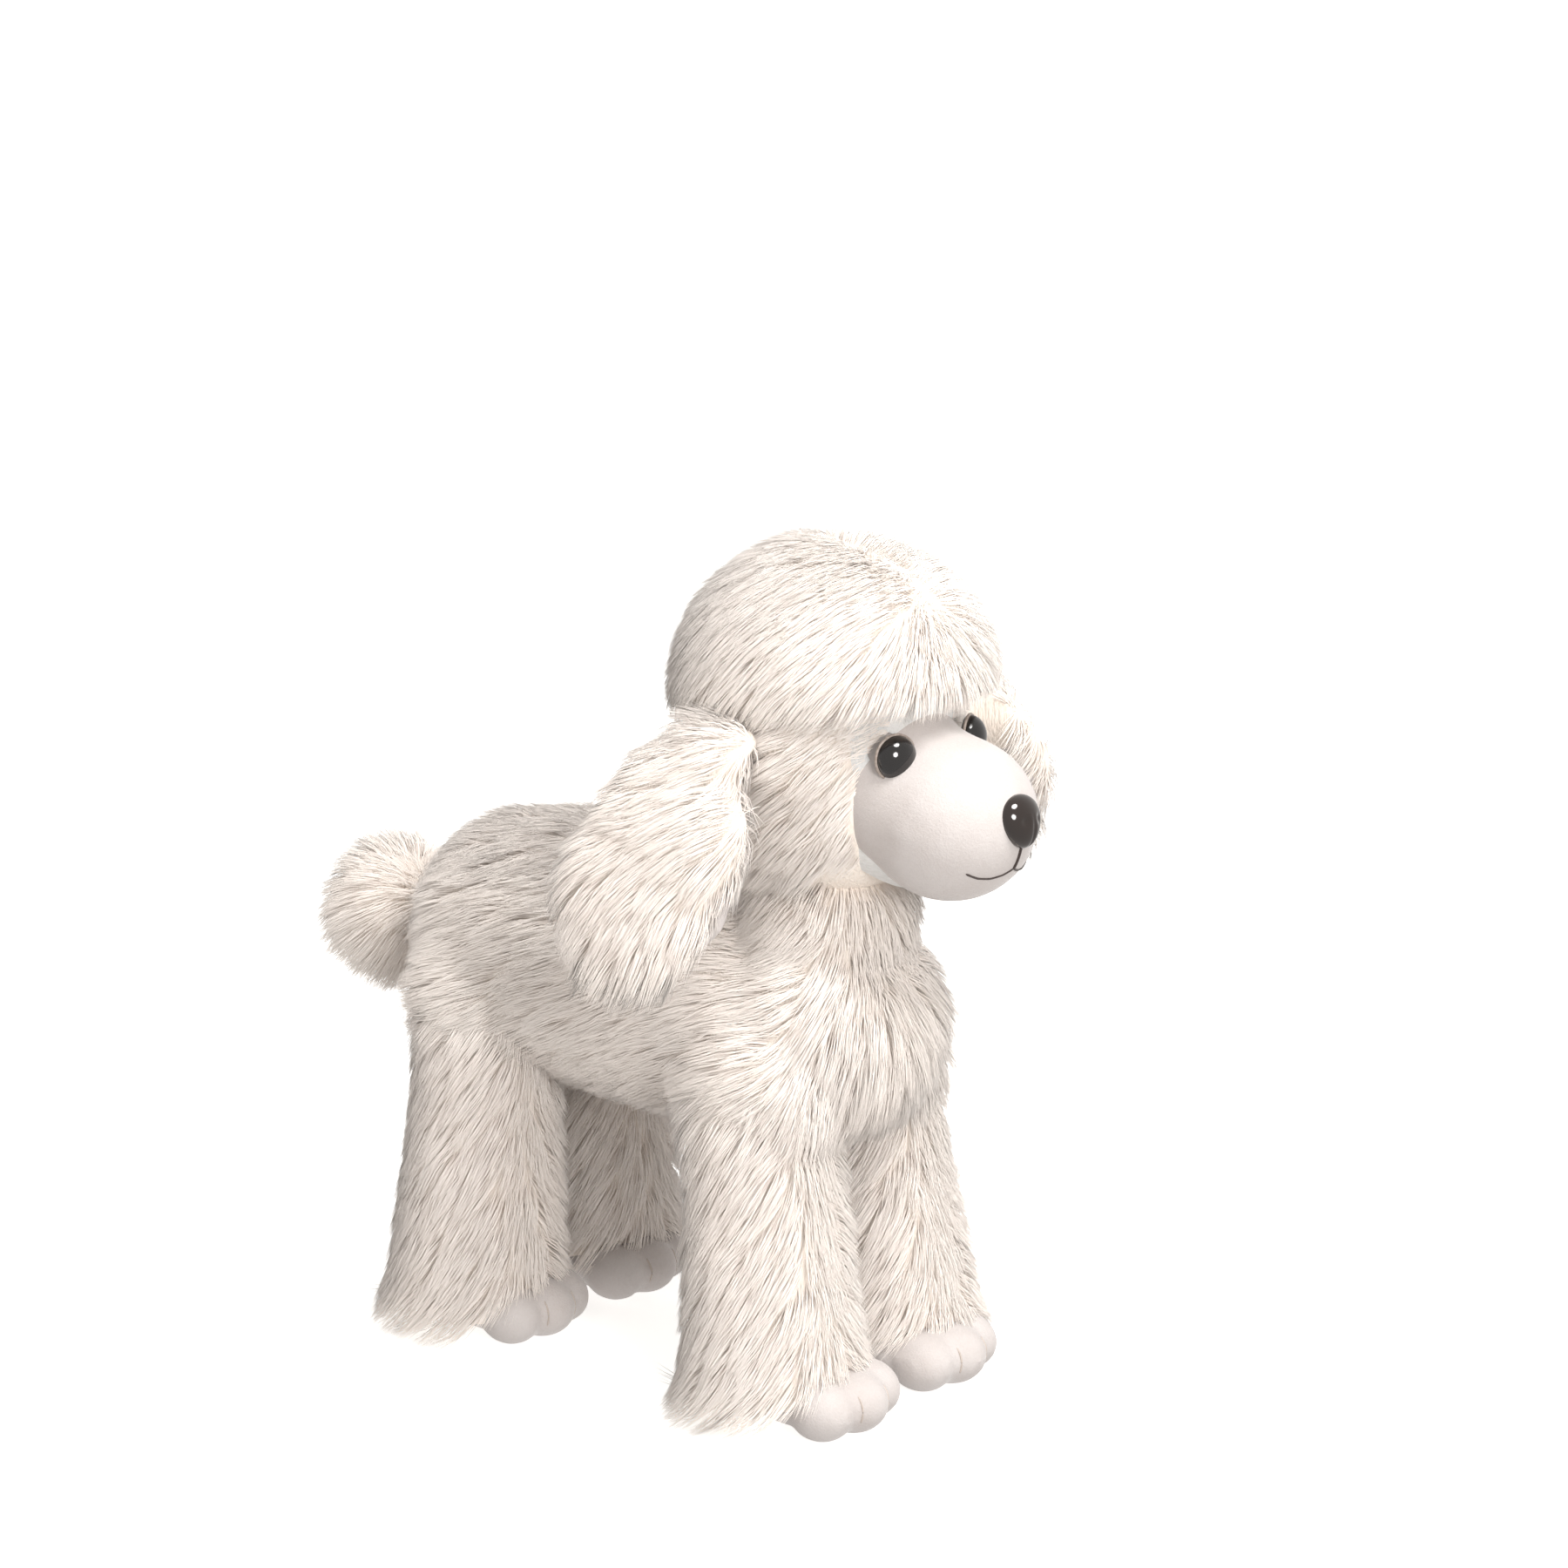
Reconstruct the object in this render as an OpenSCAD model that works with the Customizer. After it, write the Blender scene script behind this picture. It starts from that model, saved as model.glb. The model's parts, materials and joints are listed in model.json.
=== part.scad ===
// Plush poodle, standing on four legs.
// Millimetres, +Z up, the dog faces -Y, its left side is +X.
// The origin lies on the floor at the middle of the dog's length and width.
// Each fur piece is drawn to the tips of its pile, with the fill as a solid core inside.

/* [Body] */
// Radius of the barrel to the fur tips
body_r = 56; // [50:1:67]
// Length of the barrel ahead of its widest place
chest_len = 144; // [130:1:173]
// Length of the barrel behind its widest place
rump_len = 106; // [96:1:128]
// Thickness of the body's fabric and fur
body_pile = 12; // [6:1:14]
// Rise of the back towards the tail, in degrees
back_slope = 4; // [0:0.5:6]

/* [Legs] */
// Height of the front hip above the floor
leg_len = 112; // [100:1:135]
// Radius of the upper leg and of its round top
leg_r = 29.5; // [25:0.5:33]
// Radius of the bell-shaped hem of the leg
hem_r = 35.5; // [30:0.5:36]
// Thickness of the leg's fabric and fur
leg_pile = 8; // [4:1:10]
// Free height of the fur hem above the floor
hem_lift = 3; // [2:0.5:5]
// Forward lean of the front legs, in degrees
front_lean = 6; // [2:0.5:8]
// Backward lean of the rear legs, in degrees
rear_lean = 3.5; // [1:0.5:6]
// Outward splay of every leg, in degrees
leg_splay = 2.2; // [2:0.1:4]
// Half the space between a left and a right leg
crotch_half = 2.5; // [2:0.5:6]
// Swing of a leg each way, in degrees
leg_swing = 15; // [5:1:18]

/* [Paws] */
// Radius of a paw
paw_r = 27; // [22:1:30]
// Height of a paw
paw_h = 26; // [20:1:30]
// Distance from the middle of the hem forward to the middle of the paw
paw_ahead = 18; // [12:1:22]
// Angle between the two toe seams of a paw, in degrees
toe_spread = 44; // [30:1:60]

/* [Head] */
// Radius of the stuffed skull
skull_r = 44; // [37:1:53]
// Thickness of the cheek fur
cheek_pile = 11; // [8:1:14]
// Thickness of the topknot at its sides
topknot_pile = 19; // [16:1:24]
// Height of the skull's centre above the neck's pivot
neck_to_skull = 60; // [56:1:66]
// Radius of the neck ball
neck_r = 36; // [32:1:40]
// Tilt of the seam under the topknot, in degrees
seam_tilt = 5; // [0:1:8]

/* [Face] */
// Length of the muzzle ahead of the face
muzzle_len = 36; // [30:1:44]
// Radius of the muzzle
muzzle_r = 31.5; // [28:0.5:36]
// Thickness of the face's short plush
face_pile = 3.2; // [2:0.1:4]
// Diameter of an eye
eye_d = 16; // [12:1:18]
// Diameter of the nose
nose_d = 19; // [15:1:22]
// Diameter of the embroidery thread
thread_d = 1.6; // [1:0.1:2]

/* [Ears] */
// Length of the ear flap
ear_len = 100; // [84:1:120]
// Width of the ear flap
ear_w = 84; // [70:1:100]
// Thickness of the ear with its fur
ear_t = 26; // [20:1:32]
// Thickness of the ear's lining side
lining_t = 10; // [8:0.5:13]
// Radius of the rolled ear root
ear_root_r = 9; // [7:1:10]
// How far an ear stands out from its straight hang, in degrees
ear_out = 12; // [0:1:20]

/* [Tail] */
// Radius of the tail's pompom
tail_r = 30; // [24:1:36]
// Radius of the short dock that carries the pompom
dock_r = 8; // [6:1:10]
// Swing of the tail each way, in degrees
tail_swing = 20; // [5:1:25]

/* [Fit] */
// Space left between neighbouring pieces
gap = 0.3; // [0.3:0.05:0.5]

/* [Hidden] */

$fn = 72;
hull_fn = 12;
big = 600;

// Sides of the dog, as signs of X
LEFT = 1;
RIGHT = -1;

// Lengths along the dog, measured from the middle of its stance before it is centred
widest_y = 40;
chest_end = widest_y - chest_len;
rump_end = widest_y + rump_len;
hip_inset = 58;
neck_inset = 46;
neck_run = chest_end + neck_inset;
skull_run = neck_run + 2;
face_run = skull_run - skull_r - 4;

// Nose and eye domes
eye_r = eye_d / 2;
eye_dome = 6.2;
nose_r = nose_d / 2;
nose_dome = 7;
nose_sink = 3;
nose_tip = face_run - muzzle_len + nose_sink - nose_dome;

// Tail
tail_gap = 2;
tail_run = rump_end + tail_gap + tail_r;
tail_end = tail_run + tail_r;

// Half way between nose and tail is y = 0
shift = -(nose_tip + tail_end) / 2;

// Body: the barrel's axis rises towards the tail
hip_drop = 0.58 * body_r;
front_hip_y = chest_end + hip_inset + shift;
rear_hip_y = rump_end - hip_inset + shift;
barrel_y = widest_y + shift;
barrel_z = leg_len + hip_drop + (barrel_y - front_hip_y) * tan(back_slope);
function axis_z(y) = barrel_z + (y - barrel_y) * tan(back_slope);
ruff_y = front_hip_y - 16;
belly_front_y = front_hip_y + leg_r + 2;
belly_rear_y = rear_hip_y - leg_r - 2;
belly_angle = 28;

// Legs and paws
flare_start = 22;
front_hip_z = axis_z(front_hip_y) - hip_drop;
rear_hip_z = axis_z(rear_hip_y) - hip_drop;
function hem_side(z) = leg_radius(z, z + hem_r) - z * tan(leg_splay) + gap;
hip_x = max(leg_r + crotch_half, hem_side(front_hip_z), hem_side(rear_hip_z));
function hem_y(front) = front
  ? front_hip_y - front_hip_z * tan(front_lean)
  : rear_hip_y + rear_hip_z * tan(rear_lean);
paw_x = paw_r + 3.5;
function paw_y(front) = hem_y(front) - paw_ahead;
paw_round = paw_h / 2;
leg_mouth_r = 12;

// Neck and head
neck_y = neck_run + shift;
neck_z = axis_z(neck_y) + 0.84 * body_r;
neck_ball_r = 20;
neck_plug_r = 14;
skull_y = skull_run + shift;
skull_z = neck_z + neck_to_skull;
cheek_r = skull_r + cheek_pile;
cheek_y = skull_y - 4;
cheek_z = skull_z - 15;
topknot_r = skull_r + topknot_pile;
topknot_y = skull_y + 2;
topknot_z = skull_z + 17;
seam_z = skull_z + 12;
nape_z = neck_z + 6;
nape_tilt = 20;

// Face
muzzle_tip_y = face_run - muzzle_len + shift;
muzzle_y = muzzle_tip_y + muzzle_r;
muzzle_z = skull_z - 24;
muzzle_root = skull_y - skull_r / 2 - muzzle_y;
muzzle_wall = 4.5;
face_r = skull_r - 7;
face_z = skull_z - 14;
eye_x = skull_r / 2;
eye_z = skull_z + 3.5;
eye_turn = 20;
eye_seat_y = skull_y - skull_r + 3.8;
shank_r = 2.4;
shank_len = 9;
washer_t = 1.5;
washer_r = 6;
washer_fit = 0.05;
nose_y = muzzle_tip_y + nose_sink;
nose_z = muzzle_z + 4.5;
thread_r = thread_d / 2;

// Ears
ear_x = max(cheek_r + 1, body_r) + ear_t / 2 + 3;
ear_y = skull_y + 12;
ear_root_x = cheek_r + 1;
ear_root_y = skull_y + 6;
ear_root_z = seam_z - 2;
ear_root_len = 34;
ear_reach = ear_x - ear_root_x - ear_root_r;
ear_tilt = max(7, asin(ear_reach / (ear_len / 2)));
ear_turn = 16;
ear_z = ear_root_z - 3 - ear_len / 2 * cos(ear_tilt);

// Tail
dock_ball_r = dock_r + 2;
dock_y = rump_end - dock_ball_r + shift;
dock_z = axis_z(dock_y) - 6;
tail_y = tail_run + shift;
tail_z = dock_z - 4;
tail_core_r = 14;

fur = "ivory";
plush = "white";
fill = "gainsboro";
black_plastic = [0.05, 0.045, 0.04];
white_plastic = [0.9, 0.9, 0.88];
thread = [0.12, 0.09, 0.08];

// ---------- shared shapes ----------

// Half outline of a long round body, blunt at both ends
function barrel_outline(r, front, rear, steps = 28) = [
  for (i = [0:steps])
    let (u = -cos(180 * i / steps))
    [i == 0 || i == steps ? 0 : r * sqrt(1 - pow(abs(u), 3.5)), u < 0 ? u * front : u * rear]
];

// The barrel, made smaller all round by inset
module barrel(inset = 0) {
  translate([0, barrel_y, barrel_z])
    rotate([back_slope - 90, 0, 0])
      rotate_extrude()
        polygon(barrel_outline(body_r - inset, chest_len - inset, rump_len - inset));
}

// Everything ahead of y
module ahead_of(y) {
  translate([-big / 2, y - big, -big / 2])
    cube(big);
}

// Everything behind y
module behind(y) {
  translate([-big / 2, y, -big / 2])
    cube(big);
}

// Everything on one side of the middle
module half_space(side) {
  translate([side > 0 ? 0 : -big, -big / 2, -big / 2])
    cube(big);
}

// Everything above a plane through [0, y, z] that rises by tilt towards the back
module above(y, z, tilt) {
  translate([0, y, z])
    rotate([tilt, 0, 0])
      translate([-big / 2, -big / 2, 0])
        cube(big);
}

// The underside wedge that the belly panel fills between the legs
module belly_wedge() {
  reach = 2 * body_r;
  half = reach * tan(belly_angle);
  translate([0, belly_rear_y, barrel_z])
    rotate([90, 0, 0])
      linear_extrude(belly_rear_y - belly_front_y)
        polygon([[0, 0], [-half, -reach], [half, -reach]]);
}

// Frame of a leg: the hip is the origin and the leg hangs down -Z
module at_hip(side, front) {
  translate([side * hip_x, front ? front_hip_y : rear_hip_y, front ? front_hip_z : rear_hip_z])
    rotate([front ? -front_lean : rear_lean, -side * leg_splay, 0])
      children();
}

// Room in the body for one leg's round top and its swing
module leg_room(side, front) {
  touch = leg_r + gap;
  slab = 2 * touch + 1;
  edge_step = 0.8;
  swing = leg_swing + 2;
  depth = body_r;
  at_hip(side, front) {
    sphere(touch);
    intersection() {
      translate([0, 0, touch * sin(swing) - depth - edge_step])
        cylinder(h = depth, r1 = touch * cos(swing) + depth * tan(swing), r2 = touch * cos(swing));
      translate([-slab / 2, -big / 2, -big / 2])
        cube([slab, big, big]);
    }
  }
}

module all_leg_rooms() {
  for (side = [LEFT, RIGHT], front = [true, false])
    leg_room(side, front);
}

module neck_room() {
  translate([0, neck_y, neck_z])
    sphere(neck_r + gap);
}

// Room in the rump for the dock's ball and its swing
module dock_room() {
  swing = tail_swing + 2;
  depth = 3 * dock_ball_r;
  mouth_r = (dock_r + gap) / cos(swing);
  translate([0, dock_y, dock_z]) {
    sphere(dock_ball_r + gap);
    rotate([-90, 0, 0])
      cylinder(h = depth, r1 = mouth_r, r2 = mouth_r + depth * tan(swing));
  }
}

// ---------- body ----------

module body_shell() {
  difference() {
    barrel();
    barrel(body_pile);
    all_leg_rooms();
    neck_room();
    dock_room();
  }
}

module body_fur_side(side) {
  color(fur)
    difference() {
      intersection() {
        body_shell();
        half_space(side);
      }
      ahead_of(ruff_y);
      belly_wedge();
    }
}

module body_fur_left() {
  body_fur_side(LEFT);
}

module body_fur_right() {
  body_fur_side(RIGHT);
}

module belly_panel() {
  color(fur)
    intersection() {
      body_shell();
      belly_wedge();
    }
}

module chest_ruff() {
  color(fur)
    intersection() {
      body_shell();
      ahead_of(ruff_y);
    }
}

module body_stuffing() {
  color(fill)
    difference() {
      barrel(body_pile + gap);
      all_leg_rooms();
      neck_room();
      dock_room();
    }
}

// ---------- neck ----------

module neck_fur() {
  color(fur)
    translate([0, neck_y, neck_z])
      difference() {
        sphere(neck_r);
        sphere(neck_ball_r + gap);
        cylinder(h = 2 * neck_r, r = neck_plug_r + gap);
      }
}

module neck_stuffing() {
  color(fill)
    translate([0, neck_y, neck_z]) {
      sphere(neck_ball_r);
      intersection() {
        sphere(neck_r);
        cylinder(h = 2 * neck_r, r = neck_plug_r);
      }
    }
}

// ---------- head ----------

module skull(grow = 0) {
  translate([0, skull_y, skull_z])
    sphere(skull_r + grow);
}

// The muzzle: a round dome on a short tube that ends inside the skull
module muzzle(inset = 0) {
  r = muzzle_r - inset;
  translate([0, muzzle_y, muzzle_z])
    rotate([90, 0, 0])
      rotate_extrude()
        intersection() {
          union() {
            circle(r);
            translate([0, -muzzle_root])
              square([r, muzzle_root]);
          }
          translate([0, -muzzle_root])
            square(muzzle_root + muzzle_r);
        }
}

// Round opening in the head fur that shows the short plush of the face
module face_opening(grow = 0) {
  translate([0, skull_y - skull_r / 2, face_z])
    rotate([90, 0, 0])
      cylinder(h = 2 * skull_r, r = face_r + grow);
}

// Frame of an eye: the origin is the middle of its flat back, +Z looks outwards
module at_eye(side) {
  translate([side * eye_x, eye_seat_y, eye_z])
    rotate([0, 0, side * eye_turn])
      rotate([90, 0, 0])
        children();
}

module at_nose() {
  translate([0, nose_y, nose_z])
    rotate([90, 0, 0])
      children();
}

// Space for a button's dome, shank and washer
module button_room(r) {
  translate([0, 0, -gap])
    cylinder(h = 4 * r, r = r + gap);
  translate([0, 0, -shank_len - gap])
    cylinder(h = shank_len + gap, r = shank_r + gap);
}

module washer_room() {
  translate([0, 0, -shank_len - gap])
    cylinder(h = 3 * shank_len, r = washer_r + gap);
}

// Rolled ear root, which turns in a groove under the topknot
module ear_root(side, grow = 0) {
  translate([side * ear_root_x, ear_root_y, ear_root_z])
    rotate([90, 0, 0]) {
      cylinder(h = ear_root_len, r = ear_root_r + grow, center = true);
      for (end = [-1, 1])
        translate([0, 0, end * ear_root_len / 2])
          sphere(ear_root_r + grow);
    }
}

module both_ear_roots() {
  for (side = [LEFT, RIGHT])
    ear_root(side, gap);
}

module head_fur() {
  color(fur)
    difference() {
      intersection() {
        translate([0, cheek_y, cheek_z])
          sphere(cheek_r);
        above(neck_y, nape_z, nape_tilt);
      }
      skull(gap);
      face_opening(gap);
      muzzle(-gap);
      neck_room();
      above(topknot_y, seam_z, -seam_tilt);
      both_ear_roots();
    }
}

module topknot_fur() {
  color(fur)
    difference() {
      intersection() {
        translate([0, topknot_y, topknot_z])
          sphere(topknot_r);
        above(topknot_y, seam_z + gap, -seam_tilt);
      }
      skull(gap);
      both_ear_roots();
    }
}

module muzzle_plush() {
  color(plush)
    difference() {
      union() {
        intersection() {
          skull(gap + face_pile);
          face_opening();
        }
        muzzle();
      }
      skull(gap);
      muzzle(muzzle_wall);
      neck_room();
      above(topknot_y, seam_z - gap, -seam_tilt);
      for (side = [LEFT, RIGHT])
        at_eye(side)
          button_room(eye_r);
      at_nose()
        button_room(nose_r);
    }
}

module head_stuffing() {
  color(fill)
    difference() {
      union() {
        skull();
        muzzle(muzzle_wall + gap);
      }
      neck_room();
      for (side = [LEFT, RIGHT])
        at_eye(side)
          washer_room();
      at_nose()
        washer_room();
    }
}

// A point on the muzzle: t from its tip, p round from straight below, in degrees
function on_muzzle(t, p, out) = [
  (muzzle_r + out) * sin(t) * sin(p),
  muzzle_y - (muzzle_r + out) * cos(t),
  muzzle_z - (muzzle_r + out) * sin(t) * cos(p)
];

// Thread sewn along a row of points
module thread_line(points) {
  for (i = [0:len(points) - 2])
    hull() {
      translate(points[i])
        sphere(thread_r, $fn = hull_fn);
      translate(points[i + 1])
        sphere(thread_r, $fn = hull_fn);
    }
}

module mouth_stitches() {
  lay = thread_r + gap;
  color(thread) {
    thread_line([for (t = [19:5:39]) on_muzzle(t, 0, lay)]);
    for (side = [LEFT, RIGHT])
      thread_line([for (i = [0:5]) on_muzzle(39 + 5 * i, side * 9 * i, lay)]);
  }
}

module button(r, dome) {
  ball_r = (r * r + dome * dome) / (2 * dome);
  intersection() {
    translate([0, 0, dome - ball_r])
      sphere(ball_r);
    cylinder(h = 2 * dome, r = 2 * r);
  }
  translate([0, 0, -shank_len])
    cylinder(h = shank_len + dome / 2, r = shank_r);
}

module washer() {
  translate([0, 0, -shank_len + 1])
    difference() {
      cylinder(h = washer_t, r = washer_r);
      translate([0, 0, -1])
        cylinder(h = washer_t + 2, r = shank_r + washer_fit);
    }
}

module right_eye() {
  color(black_plastic)
    at_eye(RIGHT)
      button(eye_r, eye_dome);
}

module left_eye() {
  color(black_plastic)
    at_eye(LEFT)
      button(eye_r, eye_dome);
}

module right_eye_washer() {
  color(white_plastic)
    at_eye(RIGHT)
      washer();
}

module left_eye_washer() {
  color(white_plastic)
    at_eye(LEFT)
      washer();
}

module nose() {
  color(black_plastic)
    at_nose()
      button(nose_r, nose_dome);
}

module nose_washer() {
  color(white_plastic)
    at_nose()
      washer();
}

// ---------- ears ----------

// Half of the flat round flap: face 1 is the furry outside, -1 the lining
module ear_half(side, face) {
  bulge = face > 0 ? ear_t / 2 : lining_t;
  translate([side * ear_x, ear_y, ear_z])
    rotate([0, -side * ear_tilt, -side * ear_turn])
      intersection() {
        scale([bulge, ear_w / 2, ear_len / 2])
          sphere(1);
        translate([side * face * gap / 2, 0, 0])
          half_space(side * face);
      }
}

// An ear stands out by turning about its root
module stand_out(side) {
  translate([side * ear_root_x, 0, ear_root_z])
    rotate([0, -side * ear_out, 0])
      translate([-side * ear_root_x, 0, -ear_root_z])
        children();
}

module ear_fur(side) {
  color(fur) {
    stand_out(side)
      ear_half(side, 1);
    ear_root(side);
  }
}

module ear_lining(side) {
  color(plush)
    stand_out(side)
      difference() {
        ear_half(side, -1);
        above(ear_root_y, ear_root_z - ear_root_r - gap, 0);
      }
}

module right_ear_fur() {
  ear_fur(RIGHT);
}

module right_ear_lining() {
  ear_lining(RIGHT);
}

module left_ear_fur() {
  ear_fur(LEFT);
}

module left_ear_lining() {
  ear_lining(LEFT);
}

// ---------- tail ----------

module tail_fur() {
  color(fur)
    difference() {
      translate([0, tail_y, tail_z])
        sphere(tail_r);
      translate([0, tail_y, tail_z])
        sphere(tail_core_r + gap);
      translate([0, tail_y, dock_z])
        rotate([90, 0, 0])
          cylinder(h = 2 * tail_r, r = dock_r + gap);
    }
}

module tail_dock() {
  color(fur) {
    translate([0, dock_y, dock_z])
      sphere(dock_ball_r);
    translate([0, dock_y, dock_z])
      rotate([-90, 0, 0])
        cylinder(h = tail_y - tail_core_r / 2 - dock_y, r = dock_r);
  }
}

module tail_stuffing() {
  color(fill)
    intersection() {
      translate([0, tail_y, tail_z])
        rotate([90, 0, 0])
          sphere(tail_core_r);
      behind(tail_y - tail_core_r / 2 + gap);
    }
}

// ---------- legs ----------

// Radius of the leg at a depth below the hip
function leg_radius(depth, full) =
  depth < flare_start ? leg_r
  : leg_r + (hem_r - leg_r) * pow((depth - flare_start) / (full - flare_start), 1.5);

// Leg from the hip down, made thinner all round by inset and longer than the drop to the floor
module leg_body(full, inset) {
  steps = 12;
  sphere(leg_r - inset);
  rotate_extrude()
    polygon(concat(
      [[0, 0], [leg_r - inset, 0]],
      [for (i = [0:steps])
        let (depth = flare_start + (full - flare_start) * i / steps)
        [leg_radius(depth, full) - inset, -depth]],
      [[0, -full]]));
}

function leg_drop(front) = (front ? front_hip_z : rear_hip_z) + hem_r;

module above_floor(z) {
  translate([-big / 2, -big / 2, z])
    cube(big);
}

module at_paw(side, front) {
  translate([side * paw_x, paw_y(front), 0])
    children();
}

// A paw: flat on its sole, round at its rim
module paw_body(grow = 0) {
  translate([0, 0, paw_round])
    rotate_extrude() {
      translate([paw_r - paw_round, 0])
        circle(paw_round + grow);
      translate([0, -paw_round - grow])
        square([paw_r - paw_round, 2 * (paw_round + grow)]);
    }
}

// Arch in the front of the hem that the paw shows through
module paw_arch() {
  rotate([90, 0, 0])
    cylinder(h = 2 * hem_r, r = paw_r + 1);
}

module leg_fur(side, front) {
  full = leg_drop(front);
  color(fur)
    difference() {
      intersection() {
        at_hip(side, front)
          leg_body(full, 0);
        above_floor(hem_lift);
      }
      at_hip(side, front) {
        leg_body(full, leg_pile);
        cylinder(h = 2 * leg_r, r = leg_mouth_r);
      }
      at_paw(side, front) {
        paw_body(gap);
        paw_arch();
      }
    }
}

module leg_stuffing(side, front) {
  color(fill)
    intersection() {
      at_hip(side, front)
        leg_body(leg_drop(front), leg_pile + gap);
      above_floor(paw_h + gap);
    }
}

module paw(side, front) {
  color(plush)
    at_paw(side, front)
      paw_body();
}

// Two seams that part the toes, laid over the rounded front of the paw
module toe_stitches(side, front) {
  lay = paw_round + thread_r + gap;
  start = -30;
  reach = 85;
  color(thread)
    at_paw(side, front)
      for (turn = [-toe_spread / 2, toe_spread / 2])
        rotate([0, 0, turn - 90])
          translate([paw_r - paw_round, 0, paw_round])
            rotate([90, 0, 0])
              rotate([0, 0, start])
                rotate_extrude(angle = reach)
                  translate([lay, 0])
                    circle(thread_r, $fn = 24);
}

module front_right_leg_fur() {
  leg_fur(RIGHT, true);
}

module front_right_leg_stuffing() {
  leg_stuffing(RIGHT, true);
}

module front_right_paw() {
  paw(RIGHT, true);
}

module front_right_toe_stitches() {
  toe_stitches(RIGHT, true);
}

module front_left_leg_fur() {
  leg_fur(LEFT, true);
}

module front_left_leg_stuffing() {
  leg_stuffing(LEFT, true);
}

module front_left_paw() {
  paw(LEFT, true);
}

module front_left_toe_stitches() {
  toe_stitches(LEFT, true);
}

module rear_right_leg_fur() {
  leg_fur(RIGHT, false);
}

module rear_right_leg_stuffing() {
  leg_stuffing(RIGHT, false);
}

module rear_right_paw() {
  paw(RIGHT, false);
}

module rear_right_toe_stitches() {
  toe_stitches(RIGHT, false);
}

module rear_left_leg_fur() {
  leg_fur(LEFT, false);
}

module rear_left_leg_stuffing() {
  leg_stuffing(LEFT, false);
}

module rear_left_paw() {
  paw(LEFT, false);
}

module rear_left_toe_stitches() {
  toe_stitches(LEFT, false);
}

// ---------- assembly ----------

body_fur_left();
body_fur_right();
belly_panel();
chest_ruff();
body_stuffing();
neck_fur();
neck_stuffing();
head_fur();
topknot_fur();
muzzle_plush();
head_stuffing();
mouth_stitches();
right_eye();
left_eye();
right_eye_washer();
left_eye_washer();
nose();
nose_washer();
right_ear_fur();
right_ear_lining();
left_ear_fur();
left_ear_lining();
tail_fur();
tail_stuffing();
tail_dock();
front_right_leg_fur();
front_right_leg_stuffing();
front_right_paw();
front_right_toe_stitches();
front_left_leg_fur();
front_left_leg_stuffing();
front_left_paw();
front_left_toe_stitches();
rear_right_leg_fur();
rear_right_leg_stuffing();
rear_right_paw();
rear_right_toe_stitches();
rear_left_leg_fur();
rear_left_leg_stuffing();
rear_left_paw();
rear_left_toe_stitches();
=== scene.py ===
# %% [markdown]
# # A plush poodle
# This file dresses a plush toy poodle that is already packed as a fixed frame of plain solids.
# The solids say where every piece lies and how it moves. Blender adds what the hand would
# notice: a padded skin under every patch of fur, the fur itself, a short velvety face, polished
# eyes and nose, and the dark threads of the mouth and toes.
# Every length in this file is written in millimetres and turned into metres by MM.

import json
import math

import bmesh
import bpy
import numpy as np
from mathutils import Euler, Matrix, Vector
from mathutils.kdtree import KDTree


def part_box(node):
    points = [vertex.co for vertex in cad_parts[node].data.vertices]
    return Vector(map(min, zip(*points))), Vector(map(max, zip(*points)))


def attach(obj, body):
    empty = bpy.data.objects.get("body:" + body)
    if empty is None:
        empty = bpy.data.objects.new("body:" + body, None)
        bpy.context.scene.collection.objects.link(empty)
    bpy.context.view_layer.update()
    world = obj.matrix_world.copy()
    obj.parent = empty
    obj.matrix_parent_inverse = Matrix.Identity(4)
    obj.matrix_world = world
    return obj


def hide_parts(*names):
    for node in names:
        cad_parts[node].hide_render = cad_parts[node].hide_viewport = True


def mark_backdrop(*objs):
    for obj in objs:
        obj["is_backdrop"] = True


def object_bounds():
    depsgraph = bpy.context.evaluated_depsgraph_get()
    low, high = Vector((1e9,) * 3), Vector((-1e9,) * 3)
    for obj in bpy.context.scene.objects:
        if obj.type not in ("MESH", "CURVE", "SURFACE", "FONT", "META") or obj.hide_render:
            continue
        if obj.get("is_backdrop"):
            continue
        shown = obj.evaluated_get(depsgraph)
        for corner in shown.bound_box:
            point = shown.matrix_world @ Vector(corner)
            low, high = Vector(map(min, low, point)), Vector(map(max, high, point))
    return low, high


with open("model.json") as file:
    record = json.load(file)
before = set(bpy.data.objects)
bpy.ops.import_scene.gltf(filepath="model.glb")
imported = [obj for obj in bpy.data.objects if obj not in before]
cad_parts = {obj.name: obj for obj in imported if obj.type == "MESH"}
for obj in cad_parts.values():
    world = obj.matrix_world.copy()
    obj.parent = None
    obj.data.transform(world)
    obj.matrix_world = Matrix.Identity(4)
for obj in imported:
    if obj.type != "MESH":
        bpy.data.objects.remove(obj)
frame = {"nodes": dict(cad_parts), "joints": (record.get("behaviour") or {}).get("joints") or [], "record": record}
cad_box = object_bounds()
MM = 0.001
LEFT, RIGHT = 1, -1
SIDE_NAMES = {LEFT: "left", RIGHT: "right"}
print("the plain solids measure", [round((b - a) / MM, 1) for a, b in zip(*cad_box)], "mm")


# %% [markdown]
# The frame answers every question about place. A node's box gives its middle and its size, and
# the shapes below start from those numbers, so that a change in the frame moves the looks too.

# %% Ask the frame for places
def low(node):
    return np.array(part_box(node)[0]) / MM


def high(node):
    return np.array(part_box(node)[1]) / MM


def middle(node):
    return (low(node) + high(node)) / 2


def pivot(joint):
    found = next(j for j in frame["joints"] if j["name"] == joint)
    return np.array(found["pos_m"]) / MM


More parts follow.
